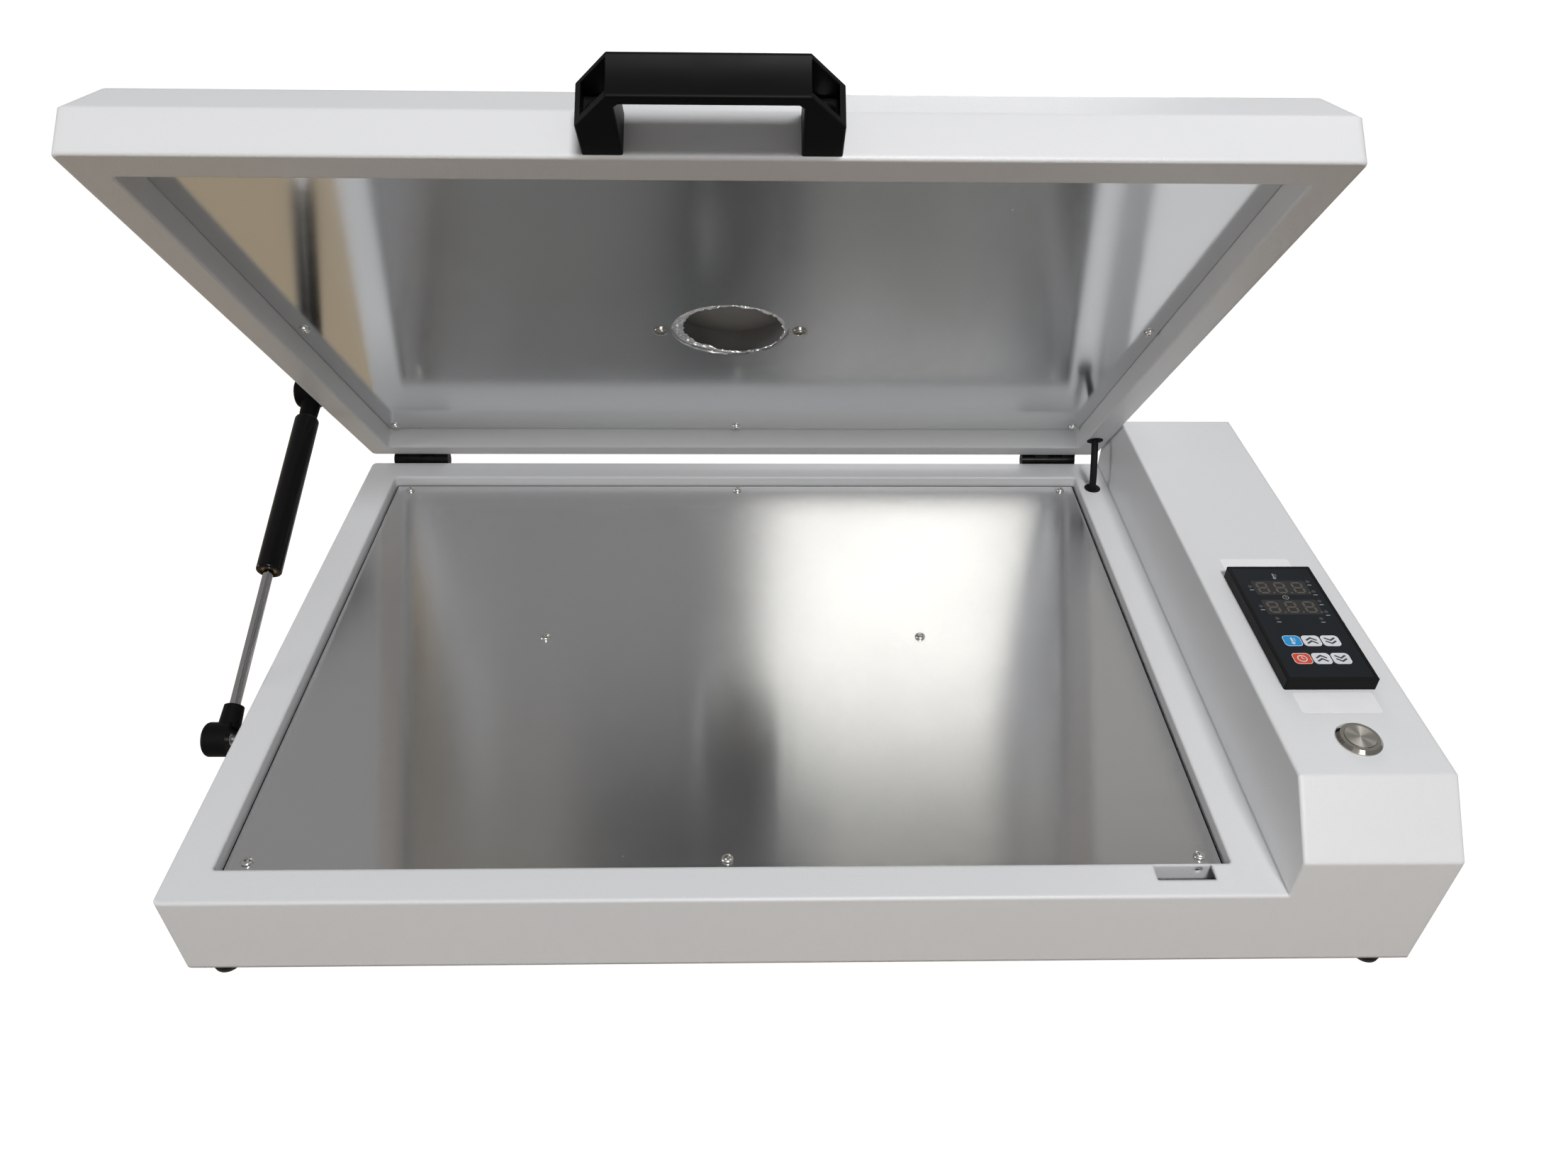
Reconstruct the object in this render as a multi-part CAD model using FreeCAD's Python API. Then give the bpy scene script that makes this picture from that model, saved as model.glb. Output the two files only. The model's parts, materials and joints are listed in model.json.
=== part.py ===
import FreeCAD, Part
import math
import os

# Clamshell reflow oven with its lid standing open on a gas strut. Lengths are millimetres and
# angles degrees. Until the last step x runs from the base's left face, y from its front face
# and z from the bench.

# Base casing of folded sheet
base_depth = 392.0
base_height = 52.0
sheet = 1.2
bend_radius = 1.4
corner_radius = 3.5
least_radius = 0.4
lip_width = 20.0

# Control housing along the right side
housing_width = 77.0
housing_gap = 1.5
housing_rise = 53.0
fold_rise = 24.0
slope_run = 29.5

# Well in the deck and the heat plate in it
well_side_margin = 21.5
well_end_margin = 20.0
well_corner = 2.0
well_bend = 1.0
ledge_width = 18.0
plate_drop = 7.0
plate_thickness = 3.0
plate_clearance = 1.0
plate_screw_side = 11.5
plate_screw_front = 9.5
plate_screw_back = 6.5
middle_screw_pitch = 232.0
middle_screw_setback = 180.0
heater_thickness = 1.2
heater_margin = 2.0
clamp_bar_width = 20.0
clamp_bar_thickness = 2.0
clamp_bar_lap = 10.0
thermocouple_length = 14.0
thermocouple_width = 8.0

# Slot in the front flange
slot_length = 29.0
slot_from_front = 10.0
slot_from_housing = 32.0
slot_hole_radius = 1.75
slot_hole_drop = 4.0
slot_hole_inset = 5.5

# Lid of folded sheet, over the well
lid_width = 541.5
lid_depth = 391.0
lid_gap = 1.0
lid_side_height = 21.6
bevel_inset = 10.4
bevel_rise = 15.9
rim_width = 17.0
rim_bend = 1.0
liner_recess = 14.4
liner_thickness = 1.5
liner_clearance = 0.5
liner_ledge = 13.0
liner_screw_inset = 6.0
open_angle = 49.46

# Vent in the lid liner
vent_radius = 34.5
vent_from_rear = 190.0
vent_screw_pitch = 81.5
foil_thickness = 0.3
foil_hole_radius = 31.0
foil_hole_shift = 2.2
cup_radius = 37.0
cup_flange = 9.0
cup_depth = 14.0
cup_wall = 0.8
vent_play = 1.5

# Hinges
pin_back = 5.9
pin_drop = 0.9
pin_radius = 2.0
pin_play = 0.05
knuckle_radius = 5.0
knuckle_count = 4
knuckle_gap = 0.3
hinge_width = 40.0
hinge_inset = 35.5
leaf_thickness = 2.0
leaf_height = 17.0
leaf_screw_pitch = 24.0
leaf_screw_drop = 11.0

# Gas strut
strut_offset = 12.0
base_stud_back = 119.7
base_stud_drop = 12.7
lid_stud_inset = 84.7
lid_stud_rise = 15.7
ball_radius = 5.0
ball_play = 0.3
stud_neck_radius = 2.75
stud_hex_radius = 6.5
stud_hex_thickness = 4.0
stud_shank_radius = 3.0
stud_shank_length = 12.0
open_pivot_gap = 0.3
socket_radius = 9.75
socket_outer = 10.5
socket_inner = 3.5
socket_edge = 2.0
neck_start = 6.0
neck_start_radius = 6.2
neck_end_radius = 5.5
rod_neck_length = 20.0
tube_neck_length = 22.0
rod_radius = 3.0
rod_seat = 9.0
rod_overlap = 22.0
tube_radius = 7.5
tube_wall = 1.1
tube_length = 118.5
tube_lip = 1.2
tube_lip_opening = 5.2
tube_cap = 3.0
tube_edge = 1.2
tube_shoulder = 2.4
tube_post_radius = 4.0
tube_post_length = 10.0
gland_length = 10.0
gland_play = 0.05
piston_length = 8.0
piston_play = 0.3

# Handle on the lid's front
handle_length = 107.0
handle_reach = 38.5
handle_grip = 5.3
handle_width = 19.6
handle_rise = 1.3
handle_foot = 17.0
handle_side = 19.5
handle_chamfer = 14.3
handle_inner_chamfer = 2.0
handle_rib = 2.6
handle_seat = 7.0
handle_pocket_floor = 14.0
handle_counterbore = 5.7
handle_scoop = 1.2
handle_land = 1.5
handle_edge = 1.0
handle_screw_spacing = 90.0
handle_shift = -2.0

# Controller in the housing's top
controller_width = 48.0
controller_length = 96.0
controller_back = 136.0
controller_proud = 7.0
controller_edge = 1.0
controller_body_width = 44.5
controller_body_length = 91.5
controller_body_depth = 70.0
controller_cutout_play = 0.4
overlay_margin = 2.0
overlay_thickness = 0.6
overlay_recess = 0.1
key_width = 9.6
key_length = 8.3
key_corner = 2.2
key_pitch = 10.3
key_thickness = 1.2
key_proud = 0.2
key_play = 0.12
key_travel = 0.4
key_floor_gap = 0.5
temperature_key_row = -17.7
time_key_row = -31.8
clamp_wall = 3.0
clamp_height = 8.0

# Push button in the housing's top
button_back = 52.4
button_flange_radius = 11.0
button_flange_height = 2.2
button_bevel = 1.5
button_barrel_radius = 9.4
button_barrel_length = 24.0
button_hole_play = 0.2
cap_radius = 7.5
cap_play = 0.15
cap_height = 3.0
cap_proud = 0.3
button_travel = 1.8
button_floor_gap = 0.4
nut_corner_radius = 12.7
nut_height = 3.0

# Mains inlet in the housing's rear
inlet_rise = 38.0
inlet_flange_width = 50.0
inlet_flange_height = 27.0
inlet_flange_thickness = 3.0
inlet_body_width = 27.0
inlet_body_height = 20.0
inlet_body_depth = 22.0
inlet_mouth_width = 24.4
inlet_mouth_height = 16.8
inlet_mouth_depth = 18.0
inlet_mouth_chamfer = 4.5
inlet_screw_pitch = 40.0
pin_blade_width = 2.0
pin_blade_height = 4.0
pin_blade_reach = 15.0
pin_blade_pitch = 7.0
pin_blade_offset = 2.0

# Power parts on the bottom cover
relay_back = 245.0
relay_gap = 8.0
relay_width = 45.0
relay_length = 58.0
relay_height = 24.0
sink_height = 18.0
sink_base = 4.0
sink_fins = 7
sink_fin_thickness = 2.0
terminal_before_lead = 5.5
terminal_width = 34.0
terminal_length = 26.0
terminal_height = 26.0
terminal_gap = 20.0

# Lead from the base to the lid
lead_radius = 2.45
lead_from_rear = 34.5
lead_from_housing = 12.0
lead_bend = 18.0
lead_drop = 33.0
lead_in_lid = 9.0
grommet_hole_radius = 4.6
grommet_flange_radius = 5.7
grommet_flange = 0.3
grommet_depth = 4.0
grommet_play = 0.05

# Feet and bottom cover
foot_height = 10.5
foot_bottom_radius = 7.0
foot_top_radius = 8.5
foot_side_inset = 15.0
foot_end_inset = 11.0
foot_recess_radius = 4.6
foot_recess = 4.0
cover_clearance = 0.3
cover_screw_inset = 8.0
vent_slots = 7
vent_slot_length = 34.0
vent_slot_width = 3.0
vent_slot_pitch = 9.0

# Screws
screw_play = 0.2
small_shank_radius = 1.5
small_head_radius = 3.1
small_head_height = 1.9
large_shank_radius = 2.0
large_head_radius = 4.4
large_head_height = 2.3
plate_screw_length = 6.0
liner_screw_length = 5.0
vent_screw_length = 6.0
cover_screw_length = 5.0
hinge_shank_radius = 1.9
hinge_head_radius = 3.4
hinge_head_height = 1.5
hinge_screw_length = 8.0
handle_screw_length = 13.0
inlet_screw_length = 8.0
foot_shank_radius = 2.0
foot_head_radius = 4.0
foot_head_height = 2.2
foot_screw_length = 11.0

TOLERANCE = 0.01
V = FreeCAD.Vector
X_AXIS = V(1, 0, 0)
Y_AXIS = V(0, 1, 0)
Z_AXIS = V(0, 0, 1)

# Screw sizes as shank radius, head radius and head height
small_screw = (small_shank_radius, small_head_radius, small_head_height)
large_screw = (large_shank_radius, large_head_radius, large_head_height)
hinge_screw = (hinge_shank_radius, hinge_head_radius, hinge_head_height)
foot_screw = (foot_shank_radius, foot_head_radius, foot_head_height)

# Levels and faces that several pieces share
underside = foot_height
deck = underside + base_height
housing_left = lid_width + housing_gap
housing_middle = housing_left + housing_width / 2
base_width = housing_left + housing_width
housing_top = deck + housing_rise
well_left = well_side_margin
well_right = housing_left - well_side_margin
well_front = well_end_margin
well_back = base_depth - well_end_margin
plate_top = deck - plate_drop
ledge_top = plate_top - plate_thickness
ledge_bottom = ledge_top - sheet
bar_top = ledge_bottom
bar_bottom = bar_top - clamp_bar_thickness
cover_top = underside + sheet
lip_top = cover_top + sheet

lid_base = deck + lid_gap
lid_height = lid_side_height + bevel_rise
lid_rear = base_depth
lid_front = lid_rear - lid_depth
lid_middle = lid_width / 2
liner_bottom = lid_base + liner_recess
liner_top = liner_bottom + liner_thickness
lid_ceiling = lid_base + lid_height - sheet
foil_bottom = liner_top + heater_thickness
foil_top = foil_bottom + foil_thickness
vent_y = lid_rear - vent_from_rear

pin_y = base_depth + pin_back
pin_z = deck - pin_drop
PIN = V(0, pin_y, pin_z)


def block(x0, x1, y0, y1, z0, z1):
    return Part.makeBox(x1 - x0, y1 - y0, z1 - z0, V(x0, y0, z0))


def bar(radius, start, direction, length):
    return Part.makeCylinder(radius, length, start, direction)


def tube_of(outer, inner, start, direction, length):
    return bar(outer, start, direction, length).cut(bar(inner, start, direction, length))


def prism(points, sweep):
    return Part.Face(Part.makePolygon(points + points[:1])).extrude(sweep)


def hexagon(radius, centre, direction, length):
    """Hexagonal bar along the x or z axis, whose corners lie on the radius."""
    upward = Z_AXIS if direction.x else X_AXIS
    corners = []
    for corner in range(6):
        turn = math.radians(60 * corner)
        corners.append(centre + Y_AXIS * (radius * math.cos(turn)) + upward * (radius * math.sin(turn)))
    return prism(corners, direction * length)


def rounded_wire(x0, x1, y0, y1, z, radius):
    """Level rectangle with round corners."""
    bend = radius * (1 - math.sqrt(0.5))
    lines = [
        (V(x0 + radius, y0, z), V(x1 - radius, y0, z)),
        (V(x1, y0 + radius, z), V(x1, y1 - radius, z)),
        (V(x1 - radius, y1, z), V(x0 + radius, y1, z)),
        (V(x0, y1 - radius, z), V(x0, y0 + radius, z)),
    ]
    middles = [
        V(x1 - bend, y0 + bend, z),
        V(x1 - bend, y1 - bend, z),
        V(x0 + bend, y1 - bend, z),
        V(x0 + bend, y0 + bend, z),
    ]
    edges = []
    for side, (start, end) in enumerate(lines):
        following = lines[(side + 1) % 4][0]
        edges.append(Part.LineSegment(start, end).toShape())
        edges.append(Part.Arc(end, middles[side], following).toShape())
    return Part.Wire(edges)


def rounded_block(x0, x1, y0, y1, z0, z1, radius):
    return Part.Face(rounded_wire(x0, x1, y0, y1, z0, radius)).extrude(V(0, 0, z1 - z0))


def soften(shape, radius, chosen):
    return shape.makeFillet(radius, [edge for edge in shape.Edges if chosen(edge)])


def is_upright(edge):
    return edge.BoundBox.XLength < TOLERANCE and edge.BoundBox.YLength < TOLERANCE


def is_level(edge, z):
    return abs(edge.BoundBox.ZMin - z) < TOLERANCE and abs(edge.BoundBox.ZMax - z) < TOLERANCE


def inner_radius(radius, inset):
    return max(radius - inset, least_radius)


def screw(seat, direction, size, length):
    """Screw whose head sits on the seat and whose shank runs along the direction."""
    shank_radius, head_radius, head_height = size
    head = Part.makeCone(head_radius, shank_radius, head_height, seat, direction * -1)
    return head.fuse(bar(shank_radius, seat, direction, length))


def screw_hole(seat, direction, size, length):
    """Clearance hole for such a screw, open at both ends."""
    return bar(size[0] + screw_play, seat - direction * length, direction, 2 * length)


def screws(seats, direction, size, length):
    return group([screw(seat, direction, size, length) for seat in seats])


def screw_holes(seats, direction, size, length):
    return [screw_hole(seat, direction, size, length) for seat in seats]


def opened(shape):
    """A piece of the lid, drawn shut, turned up about the hinge pin."""
    turned = shape.copy()
    turned.rotate(PIN, X_AXIS, -open_angle)
    return turned


def group(shapes):
    return Part.makeCompound(shapes)


# Base casing

def casing_form(inset):
    """Outside of the base and housing, or its inside when inset by the sheet."""
    floor = underside - inset
    tray = block(inset, housing_middle, inset, base_depth - inset, floor, deck - inset)
    tray = soften(tray, inner_radius(corner_radius, inset),
                  lambda edge: is_upright(edge) and edge.BoundBox.XMax < housing_left)
    turn = math.atan2(slope_run, housing_rise - fold_rise)
    fold = deck + fold_rise - inset * math.tan(turn / 2)
    shoulder = slope_run + inset * math.tan((math.pi / 2 - turn) / 2)
    left = housing_left + inset
    outline = [
        V(left, inset, floor),
        V(left, inset, fold),
        V(left, shoulder, housing_top - inset),
        V(left, base_depth - shoulder, housing_top - inset),
        V(left, base_depth - inset, fold),
        V(left, base_depth - inset, floor),
    ]
    housing = prism(outline, V(housing_width - 2 * inset, 0, 0))
    if inset == 0:
        tray = soften(tray, bend_radius,
                      lambda edge: is_level(edge, deck) and edge.BoundBox.XMin < housing_left)
        housing = soften(housing, bend_radius, lambda edge: not is_level(edge, floor))
    return tray.fuse(housing).removeSplitter()


def well_wall():
    return rounded_block(well_left - sheet, well_right + sheet, well_front - sheet, well_back + sheet,
                         ledge_bottom, deck - sheet / 2, well_corner + sheet)


def well_space():
    hollow = rounded_block(well_left, well_right, well_front, well_back, ledge_top, deck + sheet, well_corner)
    throat = rounded_block(well_left + ledge_width, well_right - ledge_width, well_front + ledge_width,
                           well_back - ledge_width, ledge_bottom - sheet, ledge_top + sheet, well_corner)
    return hollow.fuse(throat)


def on_well_edge(edge):
    box = edge.BoundBox
    within_x = box.XMin > well_left - TOLERANCE and box.XMax < well_right + TOLERANCE
    within_y = box.YMin > well_front - TOLERANCE and box.YMax < well_back + TOLERANCE
    return is_level(edge, deck) and within_x and within_y


def slot_cut():
    right = housing_left - slot_from_housing
    back = well_front - sheet
    return block(right - slot_length, right, slot_from_front, back, deck - 2 * sheet, deck + sheet)


def slot_hole():
    across = housing_left - slot_from_housing - slot_hole_inset
    start = V(across, well_front - 2 * sheet, deck - slot_hole_drop)
    return bar(slot_hole_radius, start, Y_AXIS, 3 * sheet)


def bottom_lip(form):
    right = base_width - lip_width
    back = base_depth - lip_width
    ring = block(0, base_width, 0, base_depth, cover_top, lip_top)
    ring = ring.cut(block(lip_width, right, lip_width, back, cover_top, lip_top))
    return ring.common(form)


def base_casing():
    form = casing_form(0)
    casing = form.cut(casing_form(sheet))
    casing = casing.fuse(well_wall()).fuse(bottom_lip(form)).cut(well_space())
    casing = soften(casing.removeSplitter(), well_bend, on_well_edge)
    holes = [slot_cut(), slot_hole(), controller_cutout(), button_hole(), inlet_cutout(), stud_hole()]
    holes.append(bar(grommet_hole_radius, V(lead_x(), lead_y(), deck - 2 * sheet), Z_AXIS, 3 * sheet))
    holes += screw_holes(rim_plate_seats(ledge_top), Z_AXIS, small_screw, sheet)
    holes += screw_holes(cover_screw_seats(cover_top), Z_AXIS, small_screw, sheet)
    holes += screw_holes(foot_centres(cover_top), Z_AXIS, foot_screw, sheet)
    holes += screw_holes(base_leaf_seats(base_depth), Y_AXIS, hinge_screw, 2 * sheet)
    holes += screw_holes(inlet_screw_seats(), Y_AXIS, hinge_screw, 2 * sheet)
    return casing.cut(holes)


# Heat plate and what is under it

def plate_columns():
    left = well_left + plate_screw_side
    right = well_right - plate_screw_side
    return [left, (left + right) / 2, right]


def rim_plate_seats(z):
    rows = [well_front + plate_screw_front, well_back - plate_screw_back]
    return [V(x, y, z) for y in rows for x in plate_columns()]


def middle_plate_seats(z):
    middle = (well_left + well_right) / 2
    y = well_front + middle_screw_setback
    return [V(middle - middle_screw_pitch / 2, y, z), V(middle + middle_screw_pitch / 2, y, z)]


def plate_screw_seats(z):
    return rim_plate_seats(z) + middle_plate_seats(z)


def heat_plate():
    gap = plate_clearance
    plate = block(well_left + gap, well_right - gap, well_front + gap, well_back - gap, ledge_top, plate_top)
    return plate.cut(screw_holes(plate_screw_seats(plate_top), Z_AXIS, small_screw, 2 * plate_thickness))


def heat_plate_screws():
    return screws(plate_screw_seats(plate_top), Z_AXIS * -1, small_screw, plate_screw_length)


def thermocouple_space(play):
    x = (well_left + well_right) / 2
    y = well_front + middle_screw_setback
    half_length = thermocouple_length / 2 + play
    half_width = thermocouple_width / 2 + play
    return block(x - half_length, x + half_length, y - half_width, y + half_width, bar_bottom, ledge_top)


def thermocouple():
    return thermocouple_space(0)


def base_heater():
    edge = ledge_width + heater_margin
    mat = block(well_left + edge, well_right - edge, well_front + edge, well_back - edge,
                ledge_top - heater_thickness, ledge_top)
    holes = screw_holes(middle_plate_seats(ledge_top), Z_AXIS, small_screw, 2 * heater_thickness)
    return mat.cut(holes + [thermocouple_space(heater_margin)])


def heater_clamp_bars():
    """Two flat bars that bear on the ledge from below and press the mat against the plate."""
    front = well_front + ledge_width - clamp_bar_lap
    back = well_back - ledge_width + clamp_bar_lap
    bars = []
    for seat in middle_plate_seats(bar_top):
        half = clamp_bar_width / 2
        flat = block(seat.x - half, seat.x + half, front, back, bar_bottom, bar_top)
        bars.append(flat.cut(screw_hole(seat, Z_AXIS, small_screw, 2 * clamp_bar_thickness)))
    return group(bars)


def base_insulation():
    return block(lip_width + heater_margin, well_right, lip_width + heater_margin,
                 base_depth - lip_width - heater_margin, cover_top, bar_bottom)


# Bottom cover and feet

def foot_centres(z):
    columns = [foot_side_inset, base_width - foot_side_inset]
    rows = [foot_end_inset, base_depth - foot_end_inset]
    return [V(x, y, z) for y in rows for x in columns]


def cover_screw_seats(z):
    middle = base_width / 2
    front_and_back = [cover_screw_inset, base_depth - cover_screw_inset]
    left_and_right = [cover_screw_inset, base_width - cover_screw_inset]
    seats = [V(middle, y, z) for y in front_and_back]
    return seats + [V(x, base_depth / 2, z) for x in left_and_right]


def vent_slot_cuts():
    cuts = []
    for slot in range(vent_slots):
        y = relay_back + (slot - (vent_slots - 1) / 2) * vent_slot_pitch
        left = housing_middle - vent_slot_length / 2
        cuts.append(block(left, left + vent_slot_length, y, y + vent_slot_width,
                          underside - sheet, cover_top + sheet))
    return cuts


def bottom_cover():
    gap = sheet + cover_clearance
    cover = rounded_block(gap, base_width - gap, gap, base_depth - gap, underside, cover_top, corner_radius)
    holes = screw_holes(cover_screw_seats(cover_top), Z_AXIS, small_screw, 2 * sheet)
    holes += screw_holes(foot_centres(cover_top), Z_AXIS, foot_screw, 2 * sheet)
    return cover.cut(holes + vent_slot_cuts())


def bottom_cover_screws():
    return screws(cover_screw_seats(underside), Z_AXIS, small_screw, cover_screw_length)


def feet():
    rubbers = []
    for centre in foot_centres(0):
        rubber = Part.makeCone(foot_bottom_radius, foot_top_radius, foot_height, centre, Z_AXIS)
        rubber = rubber.cut(bar(foot_recess_radius, centre, Z_AXIS, foot_recess))
        rubbers.append(rubber.cut(screw_hole(centre, Z_AXIS, foot_screw, 2 * foot_height)))
    return group(rubbers)


def foot_screws():
    return screws(foot_centres(foot_recess), Z_AXIS, foot_screw, foot_screw_length)


# Lid

def lid_form(inset):
    """Outside of the lid with its bevelled top, or its inside when inset by the sheet."""
    turn = math.atan2(bevel_inset, bevel_rise)
    floor = lid_base + inset
    fold = lid_base + lid_side_height - inset * math.tan(turn / 2)
    crown = lid_base + lid_height - inset
    crown_inset = bevel_inset + inset * math.tan((math.pi / 2 - turn) / 2)
    radius = inner_radius(corner_radius, inset)
    lower = rounded_wire(inset, lid_width - inset, lid_front + inset, lid_rear - inset, fold, radius)
    upper = rounded_wire(crown_inset, lid_width - crown_inset, lid_front + crown_inset,
                         lid_rear - crown_inset, crown, radius)
    sides = Part.Face(lower).extrude(V(0, 0, floor - fold))
    form = sides.fuse(Part.makeLoft([lower, upper], True, True)).removeSplitter()
    if inset == 0:
        form = soften(form, bend_radius, lambda edge: is_level(edge, crown) or is_level(edge, floor))
    return form


def lid_opening(inset, z0, z1):
    """Space inside the lid's rim, made smaller by the inset."""
    edge = rim_width + inset
    return rounded_block(edge, lid_width - edge, lid_front + edge, lid_rear - edge, z0, z1, well_corner)


def on_rim_edge(edge):
    box = edge.BoundBox
    inside = box.XMin > rim_width - TOLERANCE and box.XMax < lid_width - rim_width + TOLERANCE
    return is_level(edge, lid_base) and inside


def lid_shell():
    shell = lid_form(0).cut(lid_form(sheet)).fuse(lid_opening(-sheet, lid_base, liner_top + sheet))
    shell = shell.cut(lid_opening(0, lid_base - sheet, liner_top))
    shell = shell.cut(lid_opening(liner_ledge, lid_base, liner_top + 2 * sheet))
    shell = soften(shell.removeSplitter(), rim_bend, on_rim_edge)
    holes = [bar(grommet_hole_radius, V(lead_x(), lead_y(), lid_base - sheet), Z_AXIS, 3 * sheet)]
    holes += screw_holes(liner_screw_seats(liner_top), Z_AXIS, small_screw, 2 * sheet)
    holes += screw_holes(lid_leaf_seats(lid_rear), Y_AXIS, hinge_screw, 2 * sheet)
    holes += screw_holes(handle_screw_seats(lid_front), Y_AXIS, large_screw, 2 * sheet)
    holes.append(bar(stud_hex_radius, V(-sheet, lid_stud_y(), lid_stud_z()), X_AXIS, 3 * sheet))
    return shell.cut(holes)


def liner_screw_seats(z):
    edge = rim_width + liner_screw_inset
    columns = [edge, lid_middle, lid_width - edge]
    rows = [lid_front + edge, lid_rear - edge]
    seats = [V(x, y, z) for y in rows for x in columns]
    return seats + [V(x, vent_y, z) for x in (columns[0], columns[-1])]


def vent_screw_seats(z):
    return [V(lid_middle - vent_screw_pitch / 2, vent_y, z), V(lid_middle + vent_screw_pitch / 2, vent_y, z)]


def vent_screw_holes(z, thickness):
    return screw_holes(vent_screw_seats(z), Z_AXIS, large_screw, 2 * thickness)


def lid_liner():
    liner = lid_opening(liner_clearance, liner_bottom, liner_top)
    holes = [bar(vent_radius, V(lid_middle, vent_y, liner_bottom), Z_AXIS, liner_thickness)]
    holes += screw_holes(liner_screw_seats(liner_bottom), Z_AXIS, small_screw, 2 * liner_thickness)
    return liner.cut(holes + vent_screw_holes(liner_bottom, liner_thickness))


def lid_liner_screws():
    return screws(liner_screw_seats(liner_bottom), Z_AXIS, small_screw, liner_screw_length)


def vent_screws():
    return screws(vent_screw_seats(liner_bottom), Z_AXIS, large_screw, vent_screw_length)


def padding(z0, z1):
    """Layer behind the liner, inside the ledge that carries the liner."""
    return lid_opening(liner_ledge + vent_play, z0, z1)


def lid_heater():
    mat = padding(liner_top, foil_bottom)
    holes = [bar(cup_radius, V(lid_middle, vent_y, liner_top), Z_AXIS, heater_thickness)]
    return mat.cut(holes + vent_screw_holes(liner_top, heater_thickness))


def foil_facing():
    """Foil of the blanket, cut roughly and off centre round the vent."""
    centre = V(lid_middle + foil_hole_shift, vent_y + foil_hole_shift, foil_bottom)
    foil = padding(foil_bottom, foil_top).cut(bar(foil_hole_radius, centre, Z_AXIS, foil_thickness))
    return foil.cut(vent_screw_holes(foil_bottom, foil_thickness))


def vent_cup():
    centre = V(lid_middle, vent_y, foil_top)
    cup = bar(cup_radius, centre, Z_AXIS, cup_depth)
    cup = cup.fuse(bar(cup_radius + cup_flange, centre, Z_AXIS, cup_wall))
    cup = cup.cut(bar(cup_radius - cup_wall, centre, Z_AXIS, cup_depth - cup_wall))
    return cup.cut(vent_screw_holes(foil_top, cup_wall))


def lid_insulation():
    centre = V(lid_middle, vent_y, foil_top)
    hole = bar(cup_radius + cup_flange + vent_play, centre, Z_AXIS, lid_ceiling - foil_top)
    return padding(foil_top, lid_ceiling).cut(hole)


# Handle

def handle_middle():
    return lid_middle + handle_shift


def handle_bottom():
    return lid_base + handle_rise


def handle_screw_seats(y):
    z = handle_bottom() + handle_width / 2
    half = handle_screw_spacing / 2
    return [V(handle_middle() - half, y, z), V(handle_middle() + half, y, z)]


def handle_scoop_cut():
    """Shallow hollow along the handle's outer face."""
    half_chord = handle_width / 2 - handle_land
    radius = (half_chord ** 2 + handle_scoop ** 2) / (2 * handle_scoop)
    start = V(handle_middle() - handle_length / 2, lid_front - handle_reach + handle_scoop - radius,
              handle_bottom() + handle_width / 2)
    return bar(radius, start, X_AXIS, handle_length)


def handle():
    """Bridge handle with bevelled hollow ends, counterbored down to the screw seats."""
    half = handle_length / 2
    inner = half - handle_foot
    underside_of_grip = handle_reach - handle_grip
    outline = [(half, 0), (half, handle_side), (half - handle_chamfer, handle_reach)]
    inner_outline = [(inner, 0), (inner, underside_of_grip - handle_inner_chamfer),
                     (inner - handle_inner_chamfer, underside_of_grip)]
    left = [(-x, reach) for x, reach in reversed(outline)]
    inner_left = [(-x, reach) for x, reach in inner_outline]
    inner_right = list(reversed(inner_outline))
    points = [V(handle_middle() + x, lid_front - reach, handle_bottom())
              for x, reach in outline + left + inner_left + inner_right]
    bridge = prism(points, V(0, 0, handle_width))
    bridge = soften(bridge, handle_edge, lambda edge: edge.BoundBox.YMin < lid_front - TOLERANCE)
    pockets = []
    for side in (-1, 1):
        near = handle_middle() + side * (half - handle_chamfer)
        far = handle_middle() + side * (half - handle_rib)
        pockets.append(block(min(near, far), max(near, far),
                             lid_front - 2 * handle_reach, lid_front - handle_pocket_floor,
                             handle_bottom() + handle_rib, handle_bottom() + handle_width - handle_rib))
    holes = screw_holes(handle_screw_seats(lid_front), Y_AXIS, large_screw, 2 * handle_seat)
    for seat in handle_screw_seats(lid_front - handle_seat):
        holes.append(bar(handle_counterbore, seat, Y_AXIS * -1, handle_reach))
    return bridge.cut(pockets + holes + [handle_scoop_cut()])


def handle_screws():
    return screws(handle_screw_seats(lid_front - handle_seat), Y_AXIS, large_screw, handle_screw_length)


# Hinges

def hinge_centres():
    return {"left": hinge_inset, "right": lid_width - hinge_inset}


def leaf_seats(y, z):
    half = leaf_screw_pitch / 2
    return [V(centre + side * half, y, z) for centre in hinge_centres().values() for side in (-1, 1)]


def base_leaf_seats(y):
    return leaf_seats(y, pin_z - leaf_screw_drop)


def lid_leaf_seats(y):
    return leaf_seats(y, pin_z + leaf_screw_drop)


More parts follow.
